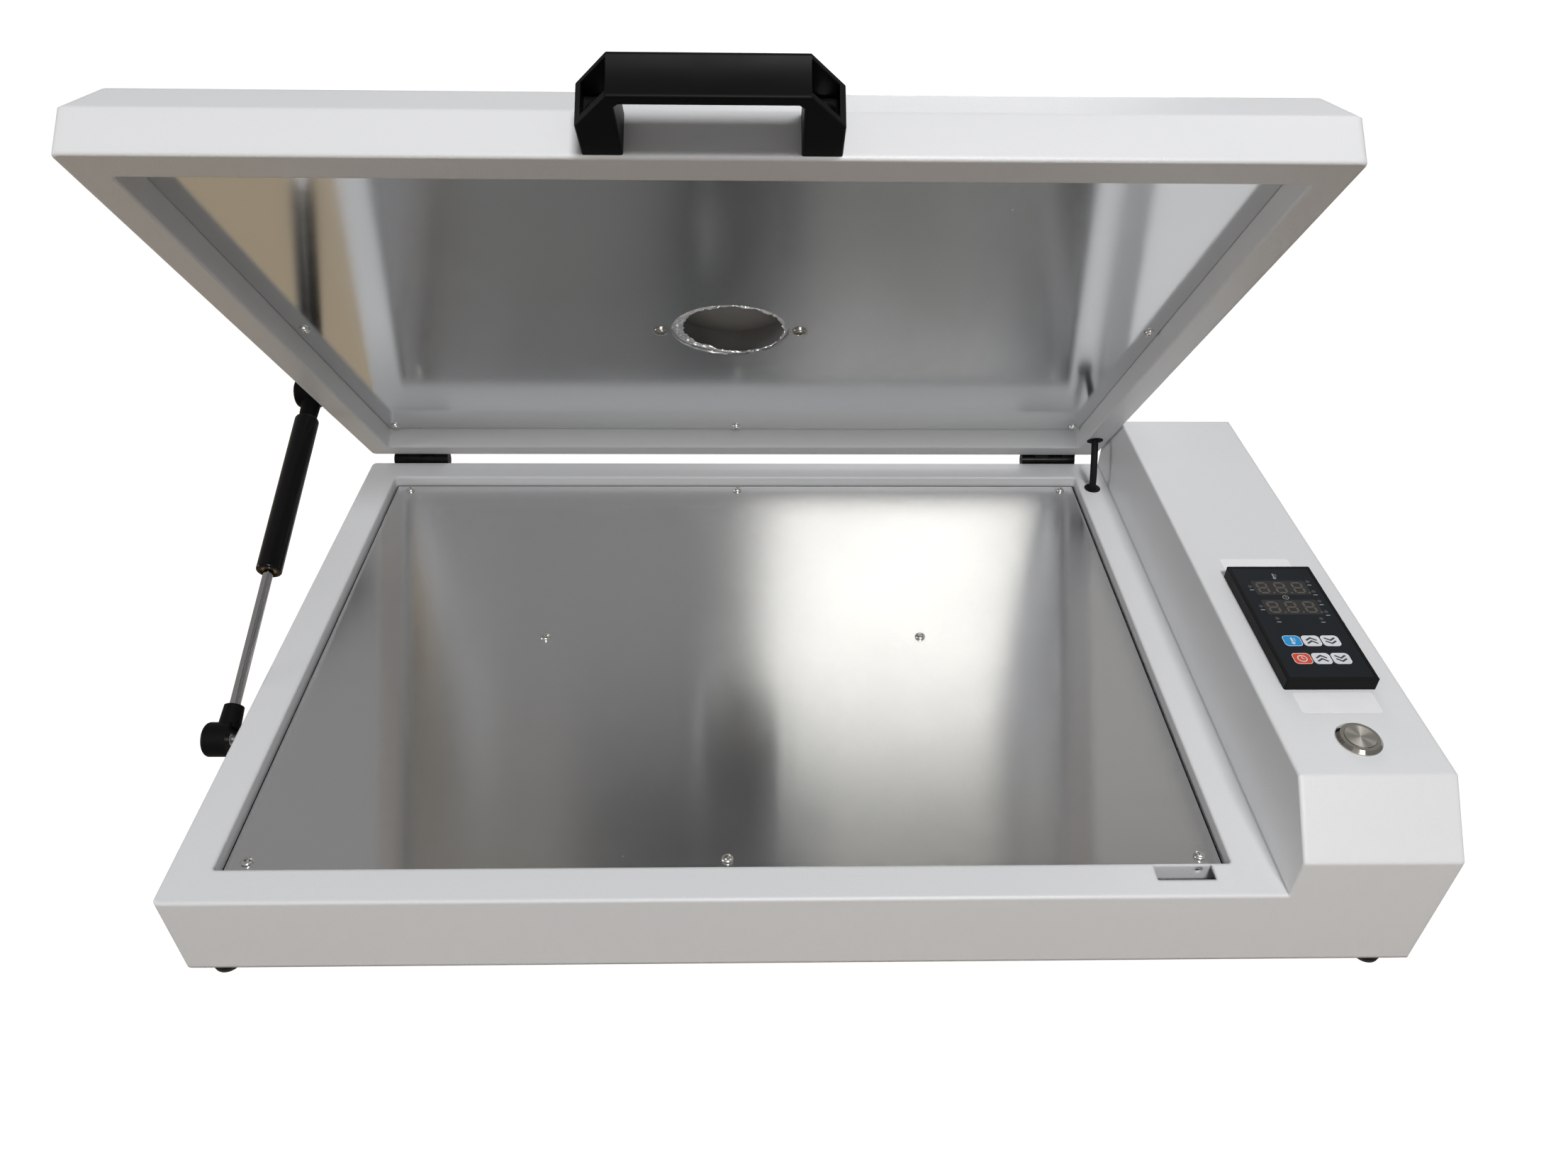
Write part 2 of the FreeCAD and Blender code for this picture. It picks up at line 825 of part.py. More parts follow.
def leaf(centre, upward, first_knuckle):
    """Leaf against a rear face, above or below the pin, with every second knuckle."""
    left = centre - hinge_width / 2
    pitch = hinge_width / knuckle_count
    near = pin_z + upward * knuckle_radius
    far = pin_z + upward * leaf_height
    back = base_depth + leaf_thickness
    plate = block(left, left + hinge_width, base_depth, back, min(near, far), max(near, far))
    for knuckle in range(first_knuckle, knuckle_count, 2):
        start = left + knuckle * pitch + knuckle_gap / 2
        end = start + pitch - knuckle_gap
        plate = plate.fuse(bar(knuckle_radius, V(start, pin_y, pin_z), X_AXIS, end - start))
        face = pin_y - knuckle_radius
        web = block(start, end, base_depth, pin_y, min(pin_z, near), max(pin_z, near))
        plate = plate.fuse(web.cut(block(start, end, base_depth, face, pin_z - pin_drop, pin_z + lid_gap)))
    plate = plate.cut(bar(pin_radius + pin_play, V(left, pin_y, pin_z), X_AXIS, hinge_width))
    z = pin_z + upward * leaf_screw_drop
    half = leaf_screw_pitch / 2
    seats = [V(centre + side * half, base_depth, z) for side in (-1, 1)]
    return plate.cut(screw_holes(seats, Y_AXIS, hinge_screw, 2 * leaf_thickness)).removeSplitter()


def hinge_pin(centre):
    return bar(pin_radius, V(centre - hinge_width / 2, pin_y, pin_z), X_AXIS, hinge_width)


def hinge_screws(seats):
    return screws(seats, Y_AXIS * -1, hinge_screw, hinge_screw_length)


# Gas strut

def lid_stud_y():
    return lid_rear - lid_stud_inset


def lid_stud_z():
    return lid_base + lid_stud_rise


def base_ball():
    return V(-strut_offset, base_stud_back, deck - base_stud_drop)


def lid_ball_shut():
    return V(-strut_offset, lid_stud_y(), lid_stud_z())


def lid_ball():
    """Centre of the upper ball with the lid up."""
    turn = math.radians(-open_angle)
    arm = lid_ball_shut() - PIN
    y = arm.y * math.cos(turn) - arm.z * math.sin(turn)
    z = arm.y * math.sin(turn) + arm.z * math.cos(turn)
    return V(-strut_offset, pin_y + y, pin_z + z)


def strut_axis():
    return (lid_ball() - base_ball()).normalize()


def strut_length():
    return (lid_ball() - base_ball()).Length


def tube_start():
    """Distance from the lower ball to the tube's open end."""
    return strut_length() - tube_neck_length - tube_length


def ball_stud(ball, face):
    """Ball on a neck, with a hexagon that ends at the face."""
    reach = face - ball.x
    stud = Part.makeSphere(ball_radius, ball, X_AXIS).fuse(bar(stud_neck_radius, ball, X_AXIS, reach))
    return stud.fuse(hexagon(stud_hex_radius, V(face - stud_hex_thickness, ball.y, ball.z), X_AXIS,
                             stud_hex_thickness))


def base_ball_stud():
    ball = base_ball()
    return ball_stud(ball, 0).fuse(bar(stud_shank_radius, V(0, ball.y, ball.z), X_AXIS, stud_shank_length))


def stud_hole():
    ball = base_ball()
    return bar(stud_shank_radius + screw_play, V(-sheet, ball.y, ball.z), X_AXIS, 3 * sheet)


def base_stud_nut():
    inside = V(sheet, base_ball().y, base_ball().z)
    nut = hexagon(stud_hex_radius, inside, X_AXIS, stud_hex_thickness)
    return nut.cut(bar(stud_shank_radius + pin_play, inside, X_AXIS, stud_hex_thickness))


def lid_ball_stud():
    return ball_stud(lid_ball(), -open_pivot_gap)


def lid_stud_insert():
    """Threaded insert in the lid's left wall, flush with it."""
    seat = V(0, lid_stud_y(), lid_stud_z())
    return tube_of(stud_hex_radius, stud_shank_radius, seat, X_AXIS, stud_shank_length)


def socket(ball, along, length, bore):
    """Ball socket with a neck along the strut, bored from its end to take what it is screwed on."""
    cup_start = V(ball.x - socket_outer, ball.y, ball.z)
    cup = bar(socket_radius, cup_start, X_AXIS, socket_outer + socket_inner)
    cup = soften(cup, socket_edge, lambda edge: edge.BoundBox.XMax < ball.x - TOLERANCE)
    neck = Part.makeCone(neck_start_radius, neck_end_radius, length - neck_start,
                         ball + along * neck_start, along)
    body = cup.fuse(neck).cut(Part.makeSphere(ball_radius + ball_play, ball, X_AXIS))
    return body.cut(bar(bore, ball + along * rod_seat, along, length))


def rod_socket():
    return socket(base_ball(), strut_axis(), rod_neck_length, rod_radius + pin_play)


def tube_socket():
    return socket(lid_ball(), strut_axis() * -1, tube_neck_length, tube_post_radius + pin_play)


def strut_rod():
    start = base_ball() + strut_axis() * rod_seat
    return bar(rod_radius, start, strut_axis(), tube_start() + rod_overlap - rod_seat)


def strut_piston():
    start = base_ball() + strut_axis() * (tube_start() + rod_overlap)
    return bar(tube_radius - tube_wall - piston_play, start, strut_axis(), piston_length)


def strut_tube():
    axis = strut_axis()
    start = base_ball() + axis * tube_start()
    middle = (start + axis * (tube_length / 2)).z
    tube = bar(tube_radius, start, axis, tube_length)
    tube = soften(tube, tube_edge, lambda edge: edge.isClosed() and edge.CenterOfMass.z < middle)
    tube = soften(tube, tube_shoulder, lambda edge: edge.isClosed() and edge.BoundBox.ZMin > middle)
    tube = tube.cut(bar(tube_lip_opening, start, axis, tube_lip))
    bore_length = tube_length - tube_lip - tube_cap
    tube = tube.cut(bar(tube_radius - tube_wall, start + axis * tube_lip, axis, bore_length))
    return tube.fuse(bar(tube_post_radius, start + axis * tube_length, axis, tube_post_length))


def strut_gland():
    axis = strut_axis()
    start = base_ball() + axis * (tube_start() + tube_lip)
    return tube_of(tube_radius - tube_wall - gland_play, rod_radius + gland_play, start, axis, gland_length)


# Controller

def controller_box(width, length, z0, z1, radius):
    x = housing_middle
    y = controller_back
    return rounded_block(x - width / 2, x + width / 2, y - length / 2, y + length / 2, z0, z1, radius)


def controller_top():
    return housing_top + controller_proud


def overlay_top():
    return controller_top() - overlay_recess


def overlay_bottom():
    return overlay_top() - overlay_thickness


def key_top():
    return overlay_top() + key_proud


def key_bottom():
    return key_top() - key_thickness


def key_places():
    rows = {"temperature": temperature_key_row, "time": time_key_row}
    columns = {"select": -key_pitch, "up": 0.0, "down": key_pitch}
    places = {}
    for row, y in rows.items():
        for column, x in columns.items():
            places[row + "_" + column] = V(housing_middle + x, controller_back + y, 0)
    return places


def key_block(place, play, z0, z1):
    half_width = key_width / 2 + play
    half_length = key_length / 2 + play
    return rounded_block(place.x - half_width, place.x + half_width,
                         place.y - half_length, place.y + half_length, z0, z1, key_corner + play)


def key(place):
    return key_block(place, 0, key_bottom(), key_top())


def controller_cutout():
    play = controller_cutout_play
    return controller_box(controller_body_width + 2 * play, controller_body_length + 2 * play,
                          housing_top - 2 * sheet, housing_top + sheet, controller_edge + play)


def overlay_block(top):
    """Space of the front film, up to a level."""
    margin = 2 * overlay_margin
    return controller_box(controller_width - margin, controller_length - margin, overlay_bottom(), top,
                          controller_edge)


def key_wells(floor):
    return [key_block(place, key_play, floor, controller_top()) for place in key_places().values()]


def controller_case():
    top = controller_top()
    bezel = controller_box(controller_width, controller_length, housing_top, top, controller_edge)
    bezel = soften(bezel, controller_edge / 2, lambda edge: is_level(edge, top))
    body = controller_box(controller_body_width, controller_body_length, housing_top - controller_body_depth,
                          housing_top, controller_edge)
    floor = key_bottom() - key_travel - key_floor_gap
    return bezel.fuse(body).cut([overlay_block(top)] + key_wells(floor))


def controller_overlay():
    return overlay_block(overlay_top()).cut(key_wells(overlay_bottom()))


def controller_clamp():
    top = housing_top - sheet
    play = key_play
    outer = controller_box(controller_body_width + 2 * clamp_wall, controller_body_length + 2 * clamp_wall,
                           top - clamp_height, top, corner_radius)
    return outer.cut(controller_box(controller_body_width + 2 * play, controller_body_length + 2 * play,
                                    top - clamp_height, top, controller_edge))


# Push button

def button_seat(z):
    return V(housing_middle, button_back, z)


def button_hole():
    start = button_seat(housing_top - 2 * sheet)
    return bar(button_barrel_radius + button_hole_play, start, Z_AXIS, 3 * sheet)


def button_face():
    return housing_top + button_flange_height


def button_body():
    rim = button_flange_height - button_bevel
    flange = bar(button_flange_radius, button_seat(housing_top), Z_AXIS, rim)
    bevel = Part.makeCone(button_flange_radius, button_flange_radius - button_bevel, button_bevel,
                          button_seat(housing_top + rim), Z_AXIS)
    barrel_end = button_seat(housing_top - button_barrel_length)
    barrel = bar(button_barrel_radius, barrel_end, Z_AXIS, button_barrel_length)
    depth = cap_height - cap_proud + button_travel + button_floor_gap
    bore = bar(cap_radius + cap_play, button_seat(button_face() - depth), Z_AXIS, depth)
    return flange.fuse(bevel).fuse(barrel).cut(bore)


def button_cap():
    return bar(cap_radius, button_seat(button_face() + cap_proud - cap_height), Z_AXIS, cap_height)


def button_nut():
    seat = button_seat(housing_top - sheet - nut_height)
    nut = hexagon(nut_corner_radius, seat, Z_AXIS, nut_height)
    return nut.cut(bar(button_barrel_radius + pin_play, seat, Z_AXIS, nut_height))


# Mains inlet

def inlet_z():
    return underside + inlet_rise


def inlet_block(width, height, y0, y1):
    x = housing_middle
    z = inlet_z()
    return block(x - width / 2, x + width / 2, y0, y1, z - height / 2, z + height / 2)


def inlet_cutout():
    width = inlet_body_width + 2 * controller_cutout_play
    height = inlet_body_height + 2 * controller_cutout_play
    return inlet_block(width, height, base_depth - 2 * sheet, base_depth + sheet)


def inlet_screw_seats():
    half = inlet_screw_pitch / 2
    return [V(housing_middle + side * half, base_depth, inlet_z()) for side in (-1, 1)]


def power_inlet():
    """Socket with a recessed mouth whose upper corners are cut off."""
    face = base_depth + inlet_flange_thickness
    flange = inlet_block(inlet_flange_width, inlet_flange_height, base_depth, face)
    through = inlet_flange_thickness - TOLERANCE
    flange = soften(flange, corner_radius, lambda edge: edge.BoundBox.YLength > through)
    body = inlet_block(inlet_body_width, inlet_body_height, base_depth - inlet_body_depth, base_depth)
    half = inlet_mouth_width / 2
    low = inlet_z() - inlet_mouth_height / 2
    high = inlet_z() + inlet_mouth_height / 2
    outline = [(half, low), (half, high - inlet_mouth_chamfer), (half - inlet_mouth_chamfer, high),
               (inlet_mouth_chamfer - half, high), (-half, high - inlet_mouth_chamfer), (-half, low)]
    mouth = prism([V(housing_middle + x, face, z) for x, z in outline], V(0, -inlet_mouth_depth, 0))
    holes = screw_holes(inlet_screw_seats(), Y_AXIS, hinge_screw, 2 * inlet_flange_thickness)
    return flange.fuse(body).cut([mouth] + holes)


def inlet_pins():
    floor = base_depth + inlet_flange_thickness - inlet_mouth_depth
    blades = []
    for column in (-1, 0, 1):
        x = housing_middle + column * pin_blade_pitch
        z = inlet_z() - pin_blade_offset if column else inlet_z() + pin_blade_offset
        half_width = pin_blade_width / 2
        half_height = pin_blade_height / 2
        blades.append(block(x - half_width, x + half_width, floor, floor + pin_blade_reach, z - half_height,
                            z + half_height))
    return group(blades)


def inlet_screws():
    seats = [seat + Y_AXIS * inlet_flange_thickness for seat in inlet_screw_seats()]
    return screws(seats, Y_AXIS * -1, hinge_screw, inlet_screw_length)


# Power parts in the housing

def relay_left():
    return housing_left + relay_gap


def relay_heat_sink():
    """Finned sink standing on the cover, fins downward."""
    left = relay_left()
    front = relay_back - relay_length / 2
    sink = block(left, left + relay_width, front, front + relay_length, cover_top + sink_height - sink_base,
                 cover_top + sink_height)
    pitch = (relay_width - sink_fin_thickness) / (sink_fins - 1)
    for fin in range(sink_fins):
        x = left + fin * pitch
        sink = sink.fuse(block(x, x + sink_fin_thickness, front, front + relay_length, cover_top,
                               cover_top + sink_height - sink_base))
    return sink.removeSplitter()


def solid_state_relay():
    left = relay_left()
    front = relay_back - relay_length / 2
    floor = cover_top + sink_height
    return block(left, left + relay_width, front, front + relay_length, floor, floor + relay_height)


def terminal_left():
    return housing_left + terminal_gap


def terminal_block():
    front = lead_y() - terminal_before_lead - terminal_length / 2
    return block(terminal_left(), terminal_left() + terminal_width, front, front + terminal_length, cover_top,
                 cover_top + terminal_height)


# Lead between the base and the lid

def lead_x():
    return housing_left - lead_from_housing


def lead_y():
    return base_depth - lead_from_rear


def lead_swing():
    """Radius of the lead's arc about the hinge pin."""
    return pin_y - lead_y()


def lid_lead():
    """Lead from the terminal block, up through the deck, round the hinge axis and into the lid."""
    x = lead_x()
    y = lead_y()
    low = deck - lead_drop
    corner = lead_bend * (1 - math.sqrt(0.5))
    bend_start = V(x + lead_bend, y, low)
    bend_end = V(x, y, low + lead_bend)
    radius = lead_swing()

    def on_arc(turn):
        angle = math.radians(180 - turn)
        return PIN + V(x, radius * math.cos(angle), radius * math.sin(angle))

    top = on_arc(open_angle)
    out = math.radians(open_angle)
    tip = top + V(0, math.sin(out), math.cos(out)) * (pin_drop + lid_gap + lead_in_lid)
    edges = [
        Part.LineSegment(V(terminal_left(), y, low), bend_start).toShape(),
        Part.Arc(bend_start, V(x + corner, y, low + corner), bend_end).toShape(),
        Part.LineSegment(bend_end, V(x, y, pin_z)).toShape(),
        Part.Arc(V(x, y, pin_z), on_arc(open_angle / 2), top).toShape(),
        Part.LineSegment(top, tip).toShape(),
    ]
    path = Part.Wire(edges)
    section = Part.Wire(Part.makeCircle(lead_radius, V(terminal_left(), y, low), X_AXIS))
    lead = path.makePipeShell([section], True, False)
    print("lead radii", lead_bend, round(radius, 1), "volume over section times length",
          round(lead.Volume / (math.pi * lead_radius ** 2 * path.Length), 4))
    return lead


def grommet(z, outward):
    """Rubber ring in a hole of the sheet, with a thin flange outside."""
    seat = V(lead_x(), lead_y(), z)
    ring = bar(grommet_hole_radius, seat, Z_AXIS * -outward, grommet_depth)
    ring = ring.fuse(bar(grommet_flange_radius, seat, Z_AXIS * outward, grommet_flange))
    start = seat - Z_AXIS * (2 * grommet_depth)
    return ring.cut(bar(lead_radius + grommet_play, start, Z_AXIS, 4 * grommet_depth))


def base_pieces():
    pieces = {
        "base_casing": base_casing(),
        "bottom_cover": bottom_cover(),
        "bottom_cover_screws": bottom_cover_screws(),
        "feet": feet(),
        "foot_screws": foot_screws(),
        "heat_plate": heat_plate(),
        "heat_plate_screws": heat_plate_screws(),
        "heater_clamp_bars": heater_clamp_bars(),
        "base_heater": base_heater(),
        "base_insulation": base_insulation(),
        "thermocouple": thermocouple(),
        "controller_case": controller_case(),
        "controller_overlay": controller_overlay(),
        "controller_clamp": controller_clamp(),
        "button_body": button_body(),
        "button_nut": button_nut(),
        "button_cap": button_cap(),
        "power_inlet": power_inlet(),
        "inlet_pins": inlet_pins(),
        "inlet_screws": inlet_screws(),
        "relay_heat_sink": relay_heat_sink(),
        "solid_state_relay": solid_state_relay(),
        "terminal_block": terminal_block(),
        "deck_grommet": grommet(deck, 1),
        "lid_lead": lid_lead(),
        "hinge_base_screws": hinge_screws(base_leaf_seats(base_depth + leaf_thickness)),
        "base_ball_stud": base_ball_stud(),
        "base_stud_nut": base_stud_nut(),
    }
    for side, centre in hinge_centres().items():
        pieces["hinge_base_leaf_" + side] = leaf(centre, -1, 0)
        pieces["hinge_pin_" + side] = hinge_pin(centre)
    for name, place in key_places().items():
        pieces["key_" + name] = key(place)
    return pieces


def strut_pieces():
    return {
        "rod_socket": rod_socket(),
        "strut_rod": strut_rod(),
        "strut_piston": strut_piston(),
        "strut_tube": strut_tube(),
        "strut_gland": strut_gland(),
        "tube_socket": tube_socket(),
        "lid_ball_stud": lid_ball_stud(),
    }


def lid_pieces():
    pieces = {
        "lid_shell": lid_shell(),
        "lid_liner": lid_liner(),
        "lid_liner_screws": lid_liner_screws(),
        "lid_heater": lid_heater(),
        "foil_facing": foil_facing(),
        "lid_insulation": lid_insulation(),
        "vent_cup": vent_cup(),
        "vent_screws": vent_screws(),
        "handle": handle(),
        "handle_screws": handle_screws(),
        "hinge_lid_screws": hinge_screws(lid_leaf_seats(base_depth + leaf_thickness)),
        "lid_stud_insert": lid_stud_insert(),
        "lid_grommet": grommet(lid_base, -1),
    }
    for side, centre in hinge_centres().items():
        pieces["hinge_lid_leaf_" + side] = leaf(centre, 1, 1)
    return {name: opened(shape) for name, shape in pieces.items()}


def origin_shift():
    """From the drawing's corner to the bottom centre of the whole oven with its lid up."""
    left = base_ball().x - socket_outer
    crown_turn = math.atan2(bevel_rise, bevel_inset)
    crown_y = lid_rear - bevel_inset - bend_radius * math.tan(crown_turn / 2)
    crown = opened(Part.Vertex(V(0, crown_y, lid_base + lid_height - bend_radius))).Point
    fold = opened(Part.Vertex(V(0, lid_rear, lid_base + lid_side_height))).Point
    rear = max(crown.y + bend_radius, fold.y)
    return V(-(left + base_width) / 2, -rear / 2, 0)


def all_pieces():
    return {**base_pieces(), **strut_pieces(), **lid_pieces()}


def main():
    os.makedirs("parts", exist_ok=True)
    shift = origin_shift()
    for name, shape in all_pieces().items():
        shape.translate(shift)
        shape.exportStep("parts/" + name + ".step")


main()
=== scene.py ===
import json
import math

import bmesh
import bpy
from mathutils import Matrix, Vector, noise


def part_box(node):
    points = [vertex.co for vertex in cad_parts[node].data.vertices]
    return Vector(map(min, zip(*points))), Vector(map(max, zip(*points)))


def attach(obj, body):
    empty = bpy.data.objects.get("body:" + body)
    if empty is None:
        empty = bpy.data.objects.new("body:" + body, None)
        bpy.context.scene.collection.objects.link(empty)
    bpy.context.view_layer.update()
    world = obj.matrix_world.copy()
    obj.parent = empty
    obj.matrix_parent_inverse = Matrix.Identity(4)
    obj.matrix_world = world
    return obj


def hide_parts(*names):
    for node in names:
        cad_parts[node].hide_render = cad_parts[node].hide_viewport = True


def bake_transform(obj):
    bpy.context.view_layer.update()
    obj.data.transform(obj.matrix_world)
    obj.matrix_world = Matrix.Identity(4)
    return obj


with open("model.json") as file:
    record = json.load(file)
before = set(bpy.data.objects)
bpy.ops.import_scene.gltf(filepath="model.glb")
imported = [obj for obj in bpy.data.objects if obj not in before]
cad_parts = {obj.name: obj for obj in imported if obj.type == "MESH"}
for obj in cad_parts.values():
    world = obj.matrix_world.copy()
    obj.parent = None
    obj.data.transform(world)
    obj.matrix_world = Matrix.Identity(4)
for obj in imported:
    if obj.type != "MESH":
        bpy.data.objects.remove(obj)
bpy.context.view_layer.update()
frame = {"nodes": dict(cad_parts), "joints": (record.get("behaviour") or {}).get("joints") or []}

# Clamshell reflow oven, lid up on its gas strut. Lengths are in metres.
MM = 0.001
nodes = frame["nodes"]
joints = {joint["name"]: joint for joint in frame["joints"]}

# The lid's pieces are drawn shut and turned up about the hinge.
HINGE = Vector(joints["lid_hinge"]["pos_m"])
OPEN_ANGLE = math.radians(-joints["lid_hinge"]["range_deg"][0])
LIFT = Matrix.Translation(HINGE) @ Matrix.Rotation(-OPEN_ANGLE, 4, "X") @ Matrix.Translation(-HINGE)
STAY = Matrix.Identity(4)

# Camera, fitted to the straight edges of the oven
IMAGE_WIDTH = 2212
FOCAL_PIXELS = 1588.978
SENSOR = 36.0
CAMERA_PLACE = Vector((-0.010988, -0.538452, 0.512487))
CAMERA_YAW = math.radians(1.585)
CAMERA_PITCH = math.radians(38.268)
CAMERA_ROLL = math.radians(0.908)

# New pieces are smooth up to this angle between faces.
EDGE_ANGLE = math.radians(38)

# Folds of the painted sheet as they catch the light, and the width of painted shade along the heat plate's
# edges, for the gap round it
FOLD_RADIUS = 2.4 * MM
PLATE_GAP_SHADE = 0.7 * MM

# Span of a noise texture that counts
NOISE_SPAN = (0.3, 0.7)

# Lead between base and lid: its run under the deck, its straight ends and its bow to the left
LEAD_DIAMETER = 4.9 * MM
LEAD_DEPTHS = (30 * MM, 14 * MM)
LEAD_STRAIGHT = 10 * MM
LEAD_IN_LID = 9 * MM
LEAD_BOW = 1.0 * MM

# Controller front, from its middle
PRINT = 0.04 * MM
WINDOW_LEFT = 15.0 * MM
WINDOW_RIGHT = 15.8 * MM
WINDOW_HALF = 6.4 * MM
WINDOW_CORNER = 1.2 * MM
DIGIT_WIDTH = 6.4 * MM
DIGIT_HEIGHT = 10.0 * MM
DIGIT_STROKE = 1.2 * MM
DIGIT_GAP = 0.25 * MM
DIGIT_COLUMNS = (-9.9 * MM, 0.1 * MM, 10.2 * MM)
DIGIT_ROWS = (28.0 * MM, 10.8 * MM)
POINT_OFFSET = 1.5 * DIGIT_STROKE
POINT_RADIUS = 0.55 * DIGIT_STROKE
# Indicator lamps in millimetres, each with a dash below it
LAMPS = ((-16.7, 29.2), (-16.7, 11.6), (17.6, 33.5), (17.6, 24.6), (17.6, 15.9), (17.6, 6.7),
         (-11.5, 1.1), (12.6, 0.8))
LAMP_RADIUS = 1.15 * MM
DASH_HALF = 1.2 * MM
DASH_LOW = 3.4 * MM
DASH_HIGH = 2.7 * MM
DASH_CORNER = 0.3 * MM
TEMPERATURE_MARK_UP = 38.6 * MM
TEMPERATURE_MARK_SIZE = 5.0 * MM
TIME_MARK_UP = 19.4 * MM
TIME_MARK_SIZE = 3.6 * MM

# Keys
KEY_CORNER = 2.2 * MM
KEY_LINE = 0.28 * MM
KEY_MARK_SIZE = 5.2 * MM
ARROW_HALF = 2.8 * MM
ARROW_RISE = 1.0 * MM
ARROW_SPREAD = 1.25 * MM
ARROW_STROKE = 1.0 * MM
# Least cosine of a stroke's half bend
MITRE_LIMIT = 0.3

# Stickers before and behind the controller: left, right, near and far edge in millimetres
FRONT_STICKER = (-20.7, 20.7, -16.8, -2.1)
REAR_STICKER = (-21.2, 19.4, 0.1, 16.2)
STICKER_CORNER = 1.6 * MM
STICKER_SHEET = 0.09 * MM


def extent(points):
    low = Vector([min(point[axis] for point in points) for axis in range(3)])
    high = Vector([max(point[axis] for point in points) for axis in range(3)])
    return low, high


def shut_box(node):
    """Lowest and highest corner of a lid node with the lid shut."""
    back = LIFT.inverted()
    return extent([back @ vertex.co for vertex in nodes[node].data.vertices])


def solids_of(node, turn):
    """Corner points of each separate solid of a node, before it is turned."""
    work = bmesh.new()
    work.from_mesh(nodes[node].data)
    bmesh.ops.remove_doubles(work, verts=work.verts, dist=0.001 * MM)
    back = turn.inverted()
    left = set(work.verts)
    found = []
    while left:
        walk = [left.pop()]
        points = []
        while walk:
            vertex = walk.pop()
            points.append(back @ vertex.co)
            for edge in vertex.link_edges:
                other = edge.other_vert(vertex)
                if other in left:
                    left.remove(other)
                    walk.append(other)
        found.append(points)
    work.free()
    return sorted(found, key=lambda group: tuple(extent(group)[0]))


# Shader nodes

def add(tree, kind, **settings):
    node = tree.nodes.new("ShaderNode" + kind)
    for name, value in settings.items():
        if name in node.inputs:
            node.inputs[name].default_value = value
        else:
            setattr(node, name, value)
    return node


def math_node(tree, operation, first, second):
    node = tree.nodes.new("ShaderNodeMath")
    node.operation = operation
    for socket, value in zip(node.inputs, (first, second)):
        if hasattr(value, "is_output"):
            tree.links.new(value, socket)
        else:
            socket.default_value = value
    return node.outputs[0]


def ramp(tree, value, low, high, start, end):
    """The value carried from one span to another, held at both ends."""
    node = tree.nodes.new("ShaderNodeMapRange")
    tree.links.new(value, node.inputs["Value"])
    node.inputs["From Min"].default_value = low
    node.inputs["From Max"].default_value = high
    node.inputs["To Min"].default_value = start
    node.inputs["To Max"].default_value = end
    return node.outputs["Result"]


def blend_colours(tree, share, first, second):
    node = tree.nodes.new("ShaderNodeMix")
    node.data_type = "RGBA"
    tree.links.new(share, node.inputs["Factor"])
    for socket, value in ((node.inputs[6], first), (node.inputs[7], second)):
        if hasattr(value, "is_output"):
            tree.links.new(value, socket)
        else:
            socket.default_value = (*value, 1.0)
    return node.outputs[2]


def new_group(name, inputs, outputs):
    tree = bpy.data.node_groups.new(name, "ShaderNodeTree")
    for socket, default in inputs.items():
        entry = tree.interface.new_socket(socket, in_out="INPUT", socket_type="NodeSocketFloat")
        entry.default_value = default
    for socket in outputs:
        tree.interface.new_socket(socket, in_out="OUTPUT", socket_type="NodeSocketFloat")
    return tree, tree.nodes.new("NodeGroupInput"), tree.nodes.new("NodeGroupOutput")


def noise_of(tree, vector, scale, detail=2.0, roughness=0.5):
    node = add(tree, "TexNoise", Detail=detail, Roughness=roughness)
    tree.links.new(vector, node.inputs["Vector"])
    if hasattr(scale, "is_output"):
        tree.links.new(scale, node.inputs["Scale"])
    else:
        node.inputs["Scale"].default_value = scale
    return node.outputs["Fac"]


def powder_group():
    """Cured powder coat: orange peel, and a slow change of tone."""
    tree, inside, out = new_group("orange_peel", {"Peel": 900.0, "Mottle": 9.0}, ("Height", "Tone"))
    place = add(tree, "TexCoord").outputs["Object"]
    coarse = noise_of(tree, place, inside.outputs["Peel"], 1.0)
    fine = noise_of(tree, place, math_node(tree, "MULTIPLY", inside.outputs["Peel"], 2.7), 1.0)
    height = math_node(tree, "ADD", coarse, math_node(tree, "MULTIPLY", fine, 0.45))
    tree.links.new(height, out.inputs["Height"])
    tree.links.new(noise_of(tree, place, inside.outputs["Mottle"], 3.0), out.inputs["Tone"])
    return tree


def rolled_group():
    """Rolled sheet: streaks along x, smudges, a fine sparkle, and a height of slow waves and streaks."""
    inputs = {"Across": 1400.0, "Along": 12.0, "Smudge": 14.0, "Wave": 5.0, "Groove": 0.1}
    tree, inside, out = new_group("rolled_sheet", inputs, ("Streak", "Smudge", "Sparkle", "Height"))
    place = add(tree, "TexCoord").outputs["Object"]
    stretch = add(tree, "CombineXYZ")
    tree.links.new(inside.outputs["Along"], stretch.inputs["X"])
    tree.links.new(inside.outputs["Across"], stretch.inputs["Y"])
    tree.links.new(inside.outputs["Across"], stretch.inputs["Z"])
    scaled = add(tree, "VectorMath", operation="MULTIPLY")
    tree.links.new(place, scaled.inputs[0])
    tree.links.new(stretch.outputs[0], scaled.inputs[1])
    streak = noise_of(tree, scaled.outputs[0], 1.0, 3.0, 0.6)
    tree.links.new(streak, out.inputs["Streak"])
    tree.links.new(noise_of(tree, place, inside.outputs["Smudge"], 4.0, 0.6), out.inputs["Smudge"])
    tree.links.new(noise_of(tree, place, 1700.0, 1.0), out.inputs["Sparkle"])
    grooves = math_node(tree, "MULTIPLY", streak, inside.outputs["Groove"])
    wave = noise_of(tree, place, inside.outputs["Wave"], 1.0)
    tree.links.new(math_node(tree, "ADD", wave, grooves), out.inputs["Height"])
    return tree


